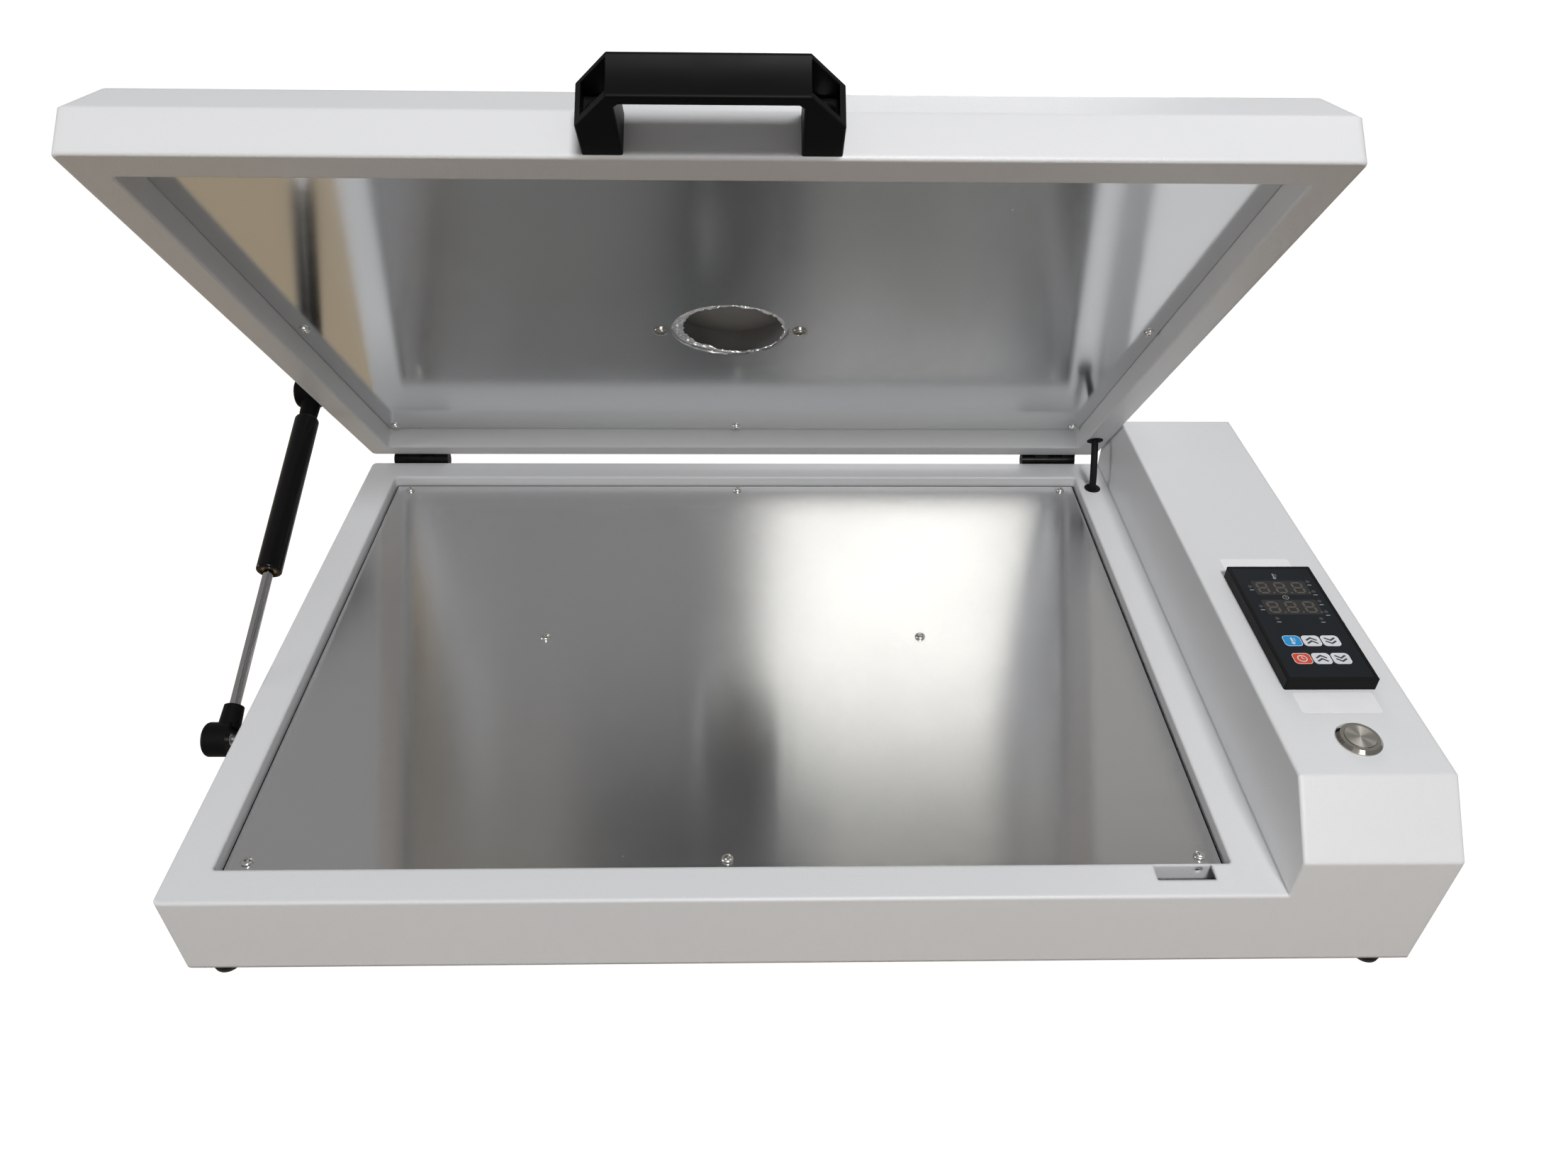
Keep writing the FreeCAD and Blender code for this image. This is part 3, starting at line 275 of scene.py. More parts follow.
def speck_group():
    """Sparse pin-point dust and nicks."""
    inputs = {"Spacing": 90.0, "Size": 0.04, "Share": 0.2}
    tree, inside, out = new_group("specks", inputs, ("Mask",))
    place = add(tree, "TexCoord").outputs["Object"]
    cells = add(tree, "TexVoronoi")
    tree.links.new(place, cells.inputs["Vector"])
    tree.links.new(inside.outputs["Spacing"], cells.inputs["Scale"])
    near = math_node(tree, "LESS_THAN", cells.outputs["Distance"], inside.outputs["Size"])
    split = add(tree, "SeparateColor")
    tree.links.new(cells.outputs["Color"], split.inputs[0])
    chosen = math_node(tree, "LESS_THAN", split.outputs[0], inside.outputs["Share"])
    tree.links.new(math_node(tree, "MULTIPLY", near, chosen), out.inputs["Mask"])
    return tree


def moulded_group():
    """Spark-eroded skin of moulded plastic and rubber."""
    tree, inside, out = new_group("moulded_skin", {"Grain": 2600.0, "Handling": 30.0}, ("Height", "Shine"))
    place = add(tree, "TexCoord").outputs["Object"]
    tree.links.new(noise_of(tree, place, inside.outputs["Grain"], 2.0), out.inputs["Height"])
    tree.links.new(noise_of(tree, place, inside.outputs["Handling"], 3.0), out.inputs["Shine"])
    return tree


POWDER = powder_group()
ROLLED = rolled_group()
SPECKS = speck_group()
MOULDED = moulded_group()


def use(tree, group, **values):
    node = tree.nodes.new("ShaderNodeGroup")
    node.node_tree = group
    for name, value in values.items():
        node.inputs[name].default_value = value
    return node.outputs


def new_material(name, **constants):
    """Material with one Principled shader, its plain values set on the shader."""
    material = bpy.data.materials.new(name)
    material.use_nodes = True
    shader = material.node_tree.nodes["Principled BSDF"]
    for socket, value in constants.items():
        entry = shader.inputs[socket.replace("_", " ")]
        entry.default_value = (*value, 1.0) if isinstance(value, tuple) else value
    return material, material.node_tree, shader


def bump(tree, shader, height, distance, strength=1.0):
    node = add(tree, "Bump", Distance=distance, Strength=strength)
    tree.links.new(height, node.inputs["Height"])
    tree.links.new(node.outputs["Normal"], shader.inputs["Normal"])
    return node


def powder_coat():
    """Pale powder coat with dark nicks. The bevel rounds the folds in the light."""
    material, tree, shader = new_material("powder_coat", Specular_IOR_Level=0.5)
    peel = use(tree, POWDER, Peel=1150.0, Mottle=7.0)
    tone = blend_colours(tree, peel["Tone"], (0.765, 0.775, 0.795), (0.80, 0.805, 0.815))
    nicks = use(tree, SPECKS, Spacing=26.0, Size=0.011, Share=0.15)
    tone = blend_colours(tree, nicks["Mask"], tone, (0.20, 0.19, 0.18))
    tree.links.new(tone, shader.inputs["Base Color"])
    tree.links.new(ramp(tree, peel["Tone"], *NOISE_SPAN, 0.30, 0.36), shader.inputs["Roughness"])
    relief = bump(tree, shader, peel["Height"], 0.12 * MM, 0.8)
    folds = add(tree, "Bevel", samples=6, Radius=FOLD_RADIUS)
    tree.links.new(folds.outputs["Normal"], relief.inputs["Normal"])
    return material


def edge_strip(tree, corners, width):
    """Mask of a strip along the four edges of a level sheet."""
    split = add(tree, "SeparateXYZ")
    tree.links.new(add(tree, "TexCoord").outputs["Object"], split.inputs[0])
    masks = []
    for axis in (0, 1):
        middle = (corners[0][axis] + corners[1][axis]) / 2
        reach = (corners[1][axis] - corners[0][axis]) / 2 - width
        inside = math_node(tree, "COMPARE", split.outputs[axis], middle)
        inside.node.inputs[2].default_value = reach
        masks.append(math_node(tree, "SUBTRACT", 1.0, inside))
    return math_node(tree, "MAXIMUM", *masks)


def rolled_aluminium(name, colour, low, high, drawn, groove, across, gap_shade_box=None):
    """Sheet rolled along x, which draws reflections out across it. Painted shade darkens a strip along the
    edges of that box.
    """
    material, tree, shader = new_material(name, Anisotropic=drawn)
    way = add(tree, "VectorTransform", vector_type="VECTOR", convert_from="OBJECT", convert_to="WORLD")
    way.inputs[0].default_value = across
    tree.links.new(way.outputs[0], shader.inputs["Tangent"])
    sheet = use(tree, ROLLED, Wave=4.0, Groove=groove)
    dust = use(tree, SPECKS, Spacing=75.0, Size=0.024, Share=0.3)
    dark = tuple(part * 0.9 for part in colour)
    dull = tuple(part * 0.95 for part in colour)
    tone = blend_colours(tree, sheet["Smudge"], dark, colour)
    tone = blend_colours(tree, ramp(tree, sheet["Sparkle"], 0.35, 0.6, 0.0, 1.0), dull, tone)
    tone = blend_colours(tree, dust["Mask"], tone, (0.95, 0.95, 0.95))
    if gap_shade_box:
        # Painted shade: a near-black strip along the sheet's edges stands in for the shadow in the gap
        # round the plate.
        tone = blend_colours(tree, edge_strip(tree, gap_shade_box, PLATE_GAP_SHADE), tone, (0.012, 0.012, 0.013))
    tree.links.new(tone, shader.inputs["Base Color"])
    grain = math_node(tree, "ADD", sheet["Streak"], math_node(tree, "MULTIPLY", sheet["Smudge"], 0.8))
    tree.links.new(ramp(tree, grain, 0.6, 1.2, low, high), shader.inputs["Roughness"])
    tree.links.new(math_node(tree, "SUBTRACT", 1.0, dust["Mask"]), shader.inputs["Metallic"])
    bump(tree, shader, sheet["Height"], 0.5 * MM, 0.3)
    return material


def bright_metal(name, colour, low, high):
    material, tree, shader = new_material(name, Metallic=1.0, Base_Color=colour)
    skin = use(tree, MOULDED, Grain=1800.0, Handling=160.0)
    tree.links.new(ramp(tree, skin["Shine"], *NOISE_SPAN, low, high), shader.inputs["Roughness"])
    bump(tree, shader, skin["Height"], 0.004 * MM)
    return material


def moulded_plastic(name, colour, low, high, grain=2600.0, depth=0.02, gloss=0.4):
    material, tree, shader = new_material(name, Specular_IOR_Level=gloss)
    skin = use(tree, MOULDED, Grain=grain, Handling=35.0)
    lighter = tuple(part * 1.35 + 0.001 for part in colour)
    tree.links.new(blend_colours(tree, skin["Shine"], colour, lighter), shader.inputs["Base Color"])
    tree.links.new(ramp(tree, skin["Shine"], *NOISE_SPAN, low, high), shader.inputs["Roughness"])
    bump(tree, shader, skin["Height"], depth * MM, 0.6)
    return material


def turned_metal(name, centre):
    """Steel turned on a lathe: fine rings about an upright axis."""
    material, tree, shader = new_material(name, Metallic=1.0, Anisotropic=0.9,
                                          Base_Color=(0.50, 0.475, 0.44))
    place = add(tree, "TexCoord").outputs["Object"]
    shift = add(tree, "VectorMath", operation="SUBTRACT")
    tree.links.new(place, shift.inputs[0])
    shift.inputs[1].default_value = centre
    outward = add(tree, "VectorMath", operation="MULTIPLY")
    tree.links.new(shift.outputs[0], outward.inputs[0])
    outward.inputs[1].default_value = (1.0, 1.0, 0.0)
    way = add(tree, "VectorTransform", vector_type="VECTOR", convert_from="OBJECT", convert_to="WORLD")
    tree.links.new(outward.outputs[0], way.inputs[0])
    tree.links.new(way.outputs[0], shader.inputs["Tangent"])
    rings = add(tree, "TexWave", wave_type="RINGS", rings_direction="Z", Scale=900.0, Distortion=0.6)
    tree.links.new(shift.outputs[0], rings.inputs["Vector"])
    tree.links.new(ramp(tree, rings.outputs["Fac"], 0.0, 1.0, 0.26, 0.38), shader.inputs["Roughness"])
    bump(tree, shader, rings.outputs["Fac"], 0.01 * MM, 0.4)
    return material


def printed(name, colour, roughness):
    """Ink or paper with a little unevenness."""
    material, tree, shader = new_material(name)
    skin = use(tree, MOULDED, Grain=4000.0, Handling=120.0)
    darker = tuple(part * 0.93 for part in colour)
    tree.links.new(blend_colours(tree, skin["Shine"], darker, colour), shader.inputs["Base Color"])
    sheen = ramp(tree, skin["Shine"], *NOISE_SPAN, roughness - 0.05, roughness + 0.05)
    tree.links.new(sheen, shader.inputs["Roughness"])
    return material


def crumpled_foil():
    material, tree, shader = new_material("crumpled_foil", Metallic=0.85, Base_Color=(0.95, 0.95, 0.96))
    place = add(tree, "TexCoord").outputs["Object"]
    creases = add(tree, "TexVoronoi", feature="DISTANCE_TO_EDGE", Scale=170.0)
    tree.links.new(place, creases.inputs["Vector"])
    sheen = ramp(tree, noise_of(tree, place, 200.0), *NOISE_SPAN, 0.12, 0.26)
    tree.links.new(sheen, shader.inputs["Roughness"])
    bump(tree, shader, creases.outputs["Distance"], 0.5 * MM, 0.5)
    return material


BUTTON_CENTRE = sum(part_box("button_cap"), Vector()) / 2
PAINT = powder_coat()
# The heat plate's edges get a strip of painted shade, for the gap round it.
PLATE = rolled_aluminium("plate_aluminium", (0.84, 0.84, 0.85), low=0.17, high=0.205, drawn=1.0,
                         groove=0.06, across=(0, 1, 0), gap_shade_box=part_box("heat_plate"))
LINER = rolled_aluminium("liner_aluminium", (0.81, 0.82, 0.83), low=0.12, high=0.15, drawn=0.35,
                         groove=0.0, across=LIFT.to_3x3() @ Vector((0, 1, 0)))
# Bright metals: colour, lowest and highest roughness
NICKEL = bright_metal("nickel_screw", (0.84, 0.83, 0.80), 0.14, 0.22)
# Painted shade: a darker copy of the same nickel, for the vent screws.
SHADED_NICKEL = bright_metal("dark_nickel_screw", (0.42, 0.40, 0.37), 0.06, 0.12)
CHROME = bright_metal("chrome_rod", (0.60, 0.60, 0.61), 0.05, 0.10)
BRASS = bright_metal("brass_gland", (0.42, 0.29, 0.16), 0.28, 0.42)
POLISHED = bright_metal("button_ring", (0.44, 0.415, 0.385), 0.06, 0.12)
TURNED = turned_metal("button_cap_turned", BUTTON_CENTRE)
# Moulded or painted: colour, lowest and highest roughness, grain per metre, its depth in millimetres, gloss
BLACK_GLOSS = moulded_plastic("black_gloss_paint", (0.002, 0.002, 0.002), 0.14, 0.24, 1500.0, 0.006, 0.25)
NYLON = moulded_plastic("black_nylon", (0.003, 0.003, 0.0035), 0.42, 0.54, 2600.0, 0.02, 0.10)
RUBBER = moulded_plastic("black_rubber", (0.006, 0.006, 0.006), 0.60, 0.75, 2600.0, 0.02, 0.2)
CASE = moulded_plastic("controller_plastic", (0.003, 0.003, 0.0035), 0.42, 0.52, 2600.0, 0.02, 0.12)
FILM = moulded_plastic("overlay_film", (0.006, 0.0085, 0.0115), 0.36, 0.46, 5000.0, 0.006, 0.16)
KEY_GREY = moulded_plastic("key_grey", (0.60, 0.61, 0.64), 0.36, 0.46, 4000.0, 0.006)
KEY_BLUE = moulded_plastic("key_blue", (0.010, 0.25, 0.57), 0.36, 0.46, 4000.0, 0.006)
KEY_RED = moulded_plastic("key_red", (0.57, 0.058, 0.017), 0.36, 0.46, 4000.0, 0.006)
KEY_EDGE = moulded_plastic("key_edge", (0.72, 0.74, 0.78), 0.36, 0.46, 4000.0, 0.006)
DARK_STEEL = moulded_plastic("vent_cup_steel", (0.27, 0.265, 0.26), 0.42, 0.55, 700.0, 0.05)
WOOL = moulded_plastic("mineral_wool", (0.66, 0.62, 0.52), 0.85, 0.95, 900.0, 0.4)
SILICONE = moulded_plastic("heater_silicone", (0.34, 0.10, 0.055), 0.55, 0.68, 1200.0, 0.05)
PALE_PLASTIC = moulded_plastic("inner_plastic", (0.62, 0.61, 0.56), 0.42, 0.52)
INNER_METAL = bright_metal("inner_metal", (0.66, 0.66, 0.67), 0.28, 0.40)
ZINC = bright_metal("zinc_stud", (0.62, 0.62, 0.62), 0.26, 0.38)
FOIL = crumpled_foil()
# Prints: colour, mean roughness
PAPER = printed("sticker_paper", (0.93, 0.935, 0.95), 0.45)
DIGIT_INK = printed("unlit_segments", (0.10, 0.083, 0.070), 0.4)
WINDOW_INK = printed("display_window", (0.010, 0.010, 0.011), 0.4)
LAMP_INK = printed("unlit_lamp", (0.050, 0.050, 0.053), 0.4)
LABEL_INK = printed("pale_print", (0.27, 0.28, 0.29), 0.5)
ARROW_INK = printed("arrow_print", (0.022, 0.030, 0.055), 0.5)
WHITE_INK = printed("white_print", (0.70, 0.78, 0.86), 0.5)

FINISHES = {
    "base_casing": PAINT, "bottom_cover": PAINT, "lid_shell": PAINT,
    "heat_plate": PLATE, "lid_liner": LINER,
    "heater_clamp_bars": INNER_METAL, "thermocouple": INNER_METAL, "relay_heat_sink": INNER_METAL,
    "strut_piston": INNER_METAL, "base_heater": SILICONE, "lid_heater": SILICONE,
    "base_insulation": WOOL, "lid_insulation": WOOL,
    "controller_case": CASE, "controller_clamp": CASE, "controller_overlay": FILM,
    "button_body": POLISHED, "button_nut": POLISHED, "button_cap": TURNED,
    "power_inlet": NYLON, "inlet_pins": BRASS,
    "solid_state_relay": PALE_PLASTIC, "terminal_block": PALE_PLASTIC,
    "deck_grommet": RUBBER, "lid_grommet": RUBBER, "feet": RUBBER,
    "base_ball_stud": ZINC, "lid_ball_stud": ZINC, "base_stud_nut": ZINC, "lid_stud_insert": ZINC,
    "hinge_base_leaf_left": BLACK_GLOSS, "hinge_base_leaf_right": BLACK_GLOSS,
    "hinge_lid_leaf_left": BLACK_GLOSS, "hinge_lid_leaf_right": BLACK_GLOSS,
    "hinge_pin_left": BLACK_GLOSS, "hinge_pin_right": BLACK_GLOSS,
    "rod_socket": NYLON, "tube_socket": NYLON, "strut_rod": CHROME,
    "strut_tube": BLACK_GLOSS, "strut_gland": BRASS,
    "vent_cup": DARK_STEEL, "handle": NYLON,
    "key_temperature_select": KEY_BLUE, "key_time_select": KEY_RED,
    "key_temperature_up": KEY_GREY, "key_temperature_down": KEY_GREY,
    "key_time_up": KEY_GREY, "key_time_down": KEY_GREY,
}


def dress_cad_nodes():
    for name, material in FINISHES.items():
        mesh = nodes[name].data
        mesh.materials.clear()
        mesh.materials.append(material)


# New pieces

def finished(name, mesh, material):
    """Object of a mesh in one finish, smooth apart from its edges."""
    mesh.materials.clear()
    mesh.materials.append(material)
    mesh.shade_smooth()
    mesh.set_sharp_from_angle(angle=EDGE_ANGLE)
    piece = bpy.data.objects.new(name, mesh)
    bpy.context.scene.collection.objects.link(piece)
    return piece


def new_piece(name, mesh, body, material, replaced=()):
    piece = finished(name, mesh, material)
    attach(piece, body)
    if replaced:
        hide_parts(*replaced)


def mesh_of(name, points, faces):
    mesh = bpy.data.meshes.new(name)
    mesh.from_pydata(points, [], faces)
    mesh.validate()
    return mesh


def shaped_mesh(holder):
    """Mesh of an object after its modifiers, or of a curve."""
    return bpy.data.meshes.new_from_object(holder.evaluated_get(bpy.context.evaluated_depsgraph_get()))


def joined(name, parts):
    """One mesh of several (points, faces) parts."""
    points = []
    faces = []
    for part_points, part_faces in parts:
        start = len(points)
        points.extend(part_points)
        faces.extend([[start + corner for corner in face] for face in part_faces])
    return mesh_of(name, points, faces)


def moved(part, matrix):
    points, faces = part
    return [matrix @ Vector(point) for point in points], faces


def turned(profile, steps):
    """Closed solid from a profile of (radius, height) that starts and ends on the axis."""
    points = [Vector((0, 0, profile[0][1]))]
    for radius, height in profile[1:-1]:
        for step in range(steps):
            turn = 2 * math.pi * step / steps
            points.append(Vector((radius * math.cos(turn), radius * math.sin(turn), height)))
    points.append(Vector((0, 0, profile[-1][1])))
    last = len(points) - 1
    rings = len(profile) - 2
    faces = []
    for step in range(steps):
        following = (step + 1) % steps
        faces.append([0, 1 + following, 1 + step])
        for ring in range(rings - 1):
            low = 1 + ring * steps
            faces.append([low + step, low + following, low + steps + following, low + steps + step])
        top = 1 + (rings - 1) * steps
        faces.append([top + step, top + following, last])
    return points, faces


def prism(bottom, top, low, high):
    """Upright solid between two flat outlines of as many points, given anticlockwise."""
    count = len(bottom)
    points = [Vector((x, y, low)) for x, y in bottom] + [Vector((x, y, high)) for x, y in top]
    faces = [list(reversed(range(count))), list(range(count, 2 * count))]
    for corner in range(count):
        following = (corner + 1) % count
        faces.append([corner, following, count + following, count + corner])
    return points, faces


def rounded_outline(x0, x1, y0, y1, radius, steps=6):
    centres = ((x1 - radius, y1 - radius), (x0 + radius, y1 - radius), (x0 + radius, y0 + radius),
               (x1 - radius, y0 + radius))
    outline = []
    for quarter, (x, y) in enumerate(centres):
        for step in range(steps + 1):
            turn = math.pi / 2 * (quarter + step / steps)
            outline.append((x + radius * math.cos(turn), y + radius * math.sin(turn)))
    return outline


def disc(x, y, radius, steps=20):
    turns = [2 * math.pi * step / steps for step in range(steps)]
    return [(x + radius * math.cos(turn), y + radius * math.sin(turn)) for turn in turns]


# Screws with a cross recess, sized as shares of the head's radius or height

RECESS_ARM = 0.58
RECESS_WIDTH = 0.13
RECESS_DEPTH = 0.75
RECESS_TAPER = 0.45
RECESS_FLOOR = 0.7
CUTTER_TOP = 1.2
HEAD_RIM = 0.18
HEAD_ROWS = 7
HEAD_STEPS = 28
SHANK = 0.5
# Turn from one screw's cross to the next
CROSS_TURN = 0.9
PAN_HEAD = 0.62
ROUND_HEAD = 1.0
DOWN, UP, INTO_FRONT, INTO_REAR = (0, 0, -1), (0, 0, 1), (0, 1, 0), (0, -1, 0)
# Node, body, way that the tip points, height and form of the head, finish
SCREWS = (
    ("heat_plate_screws", "base", DOWN, 1.9 * MM, PAN_HEAD, NICKEL),
    ("lid_liner_screws", "lid", UP, 1.9 * MM, PAN_HEAD, NICKEL),
    # The vent screws take the darker copy of the nickel, as painted shade.
    ("vent_screws", "lid", UP, 2.3 * MM, ROUND_HEAD, SHADED_NICKEL),
    ("handle_screws", "lid", INTO_FRONT, 2.3 * MM, PAN_HEAD, NICKEL),
    ("inlet_screws", "base", INTO_REAR, 1.5 * MM, PAN_HEAD, NICKEL),
    ("hinge_base_screws", "base", INTO_REAR, 1.5 * MM, PAN_HEAD, BLACK_GLOSS),
    ("hinge_lid_screws", "lid", INTO_REAR, 1.5 * MM, PAN_HEAD, BLACK_GLOSS),
    ("bottom_cover_screws", "base", UP, 1.9 * MM, PAN_HEAD, NICKEL),
    ("foot_screws", "base", UP, 2.2 * MM, PAN_HEAD, NICKEL),
)


def cross_outline(arm, width):
    return [(arm, -width), (arm, width), (width, width), (width, arm), (-width, arm), (-width, width),
            (-arm, width), (-arm, -width), (-width, -width), (-width, -arm), (width, -arm), (width, -width)]


def cross_cutter(radius, height):
    """Cross-shaped plug that narrows downwards."""
    top = cross_outline(radius * RECESS_ARM, radius * RECESS_WIDTH)
    bottom = cross_outline(radius * RECESS_ARM * RECESS_TAPER, radius * RECESS_WIDTH * RECESS_FLOOR)
    return mesh_of("cross_cutter", *prism(bottom, top, height * (1 - RECESS_DEPTH), height * CUTTER_TOP))


def screw_part(head_radius, head_height, length, form):
    """Screw with its seat at the origin, head upwards, as (points, faces)."""
    rim = HEAD_RIM * head_height
    shank = head_radius * SHANK
    profile = [(0, -length), (shank, -length), (shank, 0), (head_radius, 0), (head_radius, rim)]
    for row in range(1, HEAD_ROWS):
        turn = math.pi / 2 * row / HEAD_ROWS
        profile.append((head_radius * math.cos(turn) ** form, rim + (head_height - rim) * math.sin(turn)))
    profile.append((0, head_height))
    head = bpy.data.objects.new("screw_head", mesh_of("screw_head", *turned(profile, HEAD_STEPS)))
    cutter = bpy.data.objects.new("cross_cutter", cross_cutter(head_radius, head_height))
    for item in (head, cutter):
        bpy.context.scene.collection.objects.link(item)
    cut = head.modifiers.new("recess", "BOOLEAN")
    cut.operation = "DIFFERENCE"
    cut.solver = "EXACT"
    cut.object = cutter
    shaped = shaped_mesh(head)
    points = [vertex.co.copy() for vertex in shaped.vertices]
    faces = [list(face.vertices) for face in shaped.polygons]
    bpy.data.objects.remove(head)
    bpy.data.objects.remove(cutter)
    bpy.data.meshes.remove(shaped)
    return points, faces


def screws(node, body, tip, head_height, form, material):
    """Cross-recess screws in place of a node's plain ones."""
    turn = LIFT if body == "lid" else STAY
    axis = next(index for index in range(3) if tip[index])
    across = next(index for index in range(3) if not tip[index])
    boxes = [extent(points) for points in solids_of(node, turn)]
    low, high = boxes[0]
    head_radius = (high[across] - low[across]) / 2
    part = screw_part(head_radius, head_height, high[axis] - low[axis] - head_height, form)
    aim = (-Vector(tip)).to_track_quat("Z", "Y").to_matrix().to_4x4()
    parts = []
    for number, (low, high) in enumerate(boxes):
        seat = (low + high) / 2
        seat[axis] = low[axis] + head_height if tip[axis] > 0 else high[axis] - head_height
        spin = Matrix.Rotation(number * CROSS_TURN, 4, "Z")
        parts.append(moved(part, turn @ Matrix.Translation(seat) @ aim @ spin))
    new_piece(node + "_heads", joined(node, parts), body, material, (node,))


def all_screws():
    for screw in SCREWS:
        screws(*screw)


# Controller front

def segment_outlines(x, y):
    """The seven bars and the point of one digit."""
    half = DIGIT_WIDTH / 2
    tall = DIGIT_HEIGHT / 2
    tip = DIGIT_STROKE / 2
    reach = half - tip - DIGIT_GAP
    bars = []
    for level in (-tall + tip, 0.0, tall - tip):
        low, middle, high = y + level - tip, y + level, y + level + tip
        bars.append([(x - reach, middle), (x - reach + tip, low), (x + reach - tip, low),
                     (x + reach, middle), (x + reach - tip, high), (x - reach + tip, high)])
    for side in (-1, 1):
        for middle in (-tall / 2, tall / 2):
            across = x + side * (half - tip)
            along = tall / 2 - tip / 2 - DIGIT_GAP
            centre = y + middle * (1 - DIGIT_STROKE / DIGIT_HEIGHT)
            bars.append([(across, centre - along), (across + tip, centre - along + tip),
                         (across + tip, centre + along - tip), (across, centre + along),
                         (across - tip, centre + along - tip), (across - tip, centre - along + tip)])
    bars.append(disc(x + half + POINT_OFFSET, y - tall + tip, POINT_RADIUS, 12))
    return bars


def stroke_outline(points, width):
    """Flat ribbon of even width along a few points."""
    left = []
    right = []
    for index, (x, y) in enumerate(points):
        before = points[max(index - 1, 0)]
        after = points[min(index + 1, len(points) - 1)]
        along = Vector((after[0] - before[0], after[1] - before[1])).normalized()
        if 0 < index < len(points) - 1:
            first = Vector((x - before[0], y - before[1])).normalized()
            widen = 1 / max(abs(first.dot(along)), MITRE_LIMIT)
        else:
            widen = 1
        offset = Vector((-along.y, along.x)) * (width / 2 * widen)
        left.append((x + offset.x, y + offset.y))
        right.append((x - offset.x, y - offset.y))
    return right + list(reversed(left))


def print_on(name, outlines, level, body, material, thickness=PRINT):
    parts = [prism(outline, outline, level, level + thickness) for outline in outlines]
    new_piece(name, joined(name, parts), body, material)


def print_ring(outer, inner):
    """Flat band between two outlines of as many points."""
    following = [*range(1, len(outer)), 0]
    return [[inner[step], outer[step], outer[after], inner[after]] for step, after in enumerate(following)]


def thermometer(x, y, size):
    """Mark of a bulb, a stem and three ticks, in shares of its size."""
    bulb = disc(x, y - 0.32 * size, 0.2 * size, 16)
    stem = rounded_outline(x - 0.1 * size, x + 0.1 * size, y - 0.2 * size, y + 0.5 * size, 0.09 * size, 4)
    ticks = [rounded_outline(x + 0.2 * size, x + 0.38 * size, y + step * 0.17 * size - 0.03 * size,
                             y + step * 0.17 * size + 0.03 * size, 0.025 * size, 3) for step in (0, 1, 2)]
    return [bulb, stem] + ticks


def clock(x, y, size):
    """Mark of a rim and two hands, in shares of its size."""
    rim = print_ring(disc(x, y, 0.5 * size, 28), disc(x, y, 0.4 * size, 28))
    hands = stroke_outline([(x, y + 0.3 * size), (x, y), (x + 0.2 * size, y - 0.1 * size)], 0.09 * size)
    return rim + [hands]


def controller_front():
    low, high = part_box("controller_overlay")
    x, y = (low.x + high.x) / 2, (low.y + high.y) / 2
    top = high.z

    def on_film(name, outlines, material, level=top, thickness=PRINT):
        print_on(name, outlines, level, "base", material, thickness)

    windows = [rounded_outline(x - WINDOW_LEFT, x + WINDOW_RIGHT, y + row - WINDOW_HALF,
                               y + row + WINDOW_HALF, WINDOW_CORNER) for row in DIGIT_ROWS]
    on_film("display_windows", windows, WINDOW_INK, thickness=PRINT / 2)
    digits = [bar for row in DIGIT_ROWS for column in DIGIT_COLUMNS
              for bar in segment_outlines(x + column, y + row)]
    on_film("digit_segments", digits, DIGIT_INK, top + PRINT / 2)
    lamps = [(x + across * MM, y + along * MM) for across, along in LAMPS]
    on_film("indicator_lamps", [disc(*lamp, LAMP_RADIUS) for lamp in lamps], LAMP_INK)
    dashes = [rounded_outline(across - DASH_HALF, across + DASH_HALF, along - DASH_LOW, along - DASH_HIGH,
                              DASH_CORNER, 3) for across, along in lamps]
    on_film("lamp_dashes", dashes, LABEL_INK)
    on_film("temperature_mark", thermometer(x, y + TEMPERATURE_MARK_UP, TEMPERATURE_MARK_SIZE), LABEL_INK)
    on_film("time_mark", clock(x, y + TIME_MARK_UP, TIME_MARK_SIZE), LABEL_INK)


def key_prints():
    def on_key(key, what, outlines, level, material):
        print_on(key + what, outlines, level, key + "_key", material)

    for row in ("temperature", "time"):
        for way, sense in (("up", 1), ("down", -1)):
            key = row + "_" + way
            low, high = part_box("key_" + key)
            x, y = (low.x + high.x) / 2, (low.y + high.y) / 2
            rise = sense * ARROW_RISE
            arrows = [stroke_outline([(x - ARROW_HALF, y + lift - rise), (x, y + lift + rise),
                                      (x + ARROW_HALF, y + lift - rise)], ARROW_STROKE)
                      for lift in (-ARROW_SPREAD, ARROW_SPREAD)]
            on_key(key, "_arrows", arrows, high.z, ARROW_INK)
        for way in ("select", "up", "down"):
            key = row + "_" + way
            low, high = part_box("key_" + key)
            outer = rounded_outline(low.x, high.x, low.y, high.y, KEY_CORNER)
            inner = rounded_outline(low.x + KEY_LINE, high.x - KEY_LINE, low.y + KEY_LINE,
                                    high.y - KEY_LINE, KEY_CORNER - KEY_LINE)
            on_key(key, "_outline", print_ring(outer, inner), high.z, KEY_EDGE)
    for row, mark in (("temperature", thermometer), ("time", clock)):
        key = row + "_select"
        low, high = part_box("key_" + key)
        x, y = (low.x + high.x) / 2, (low.y + high.y) / 2
        on_key(key, "_mark", mark(x, y, KEY_MARK_SIZE), high.z, WHITE_INK)


def stickers():
    low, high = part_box("controller_case")
    x = (low.x + high.x) / 2
    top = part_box("base_casing")[1].z
    for name, edge, spans in (("front_sticker", low.y, FRONT_STICKER),
                              ("rear_sticker", high.y, REAR_STICKER)):
        left, right, near, far = (span * MM for span in spans)
        outline = rounded_outline(x + left, x + right, edge + near, edge + far, STICKER_CORNER)
        print_on(name, [outline], top, "base", PAPER, STICKER_SHEET)


# Foil behind the liner, torn round the vent

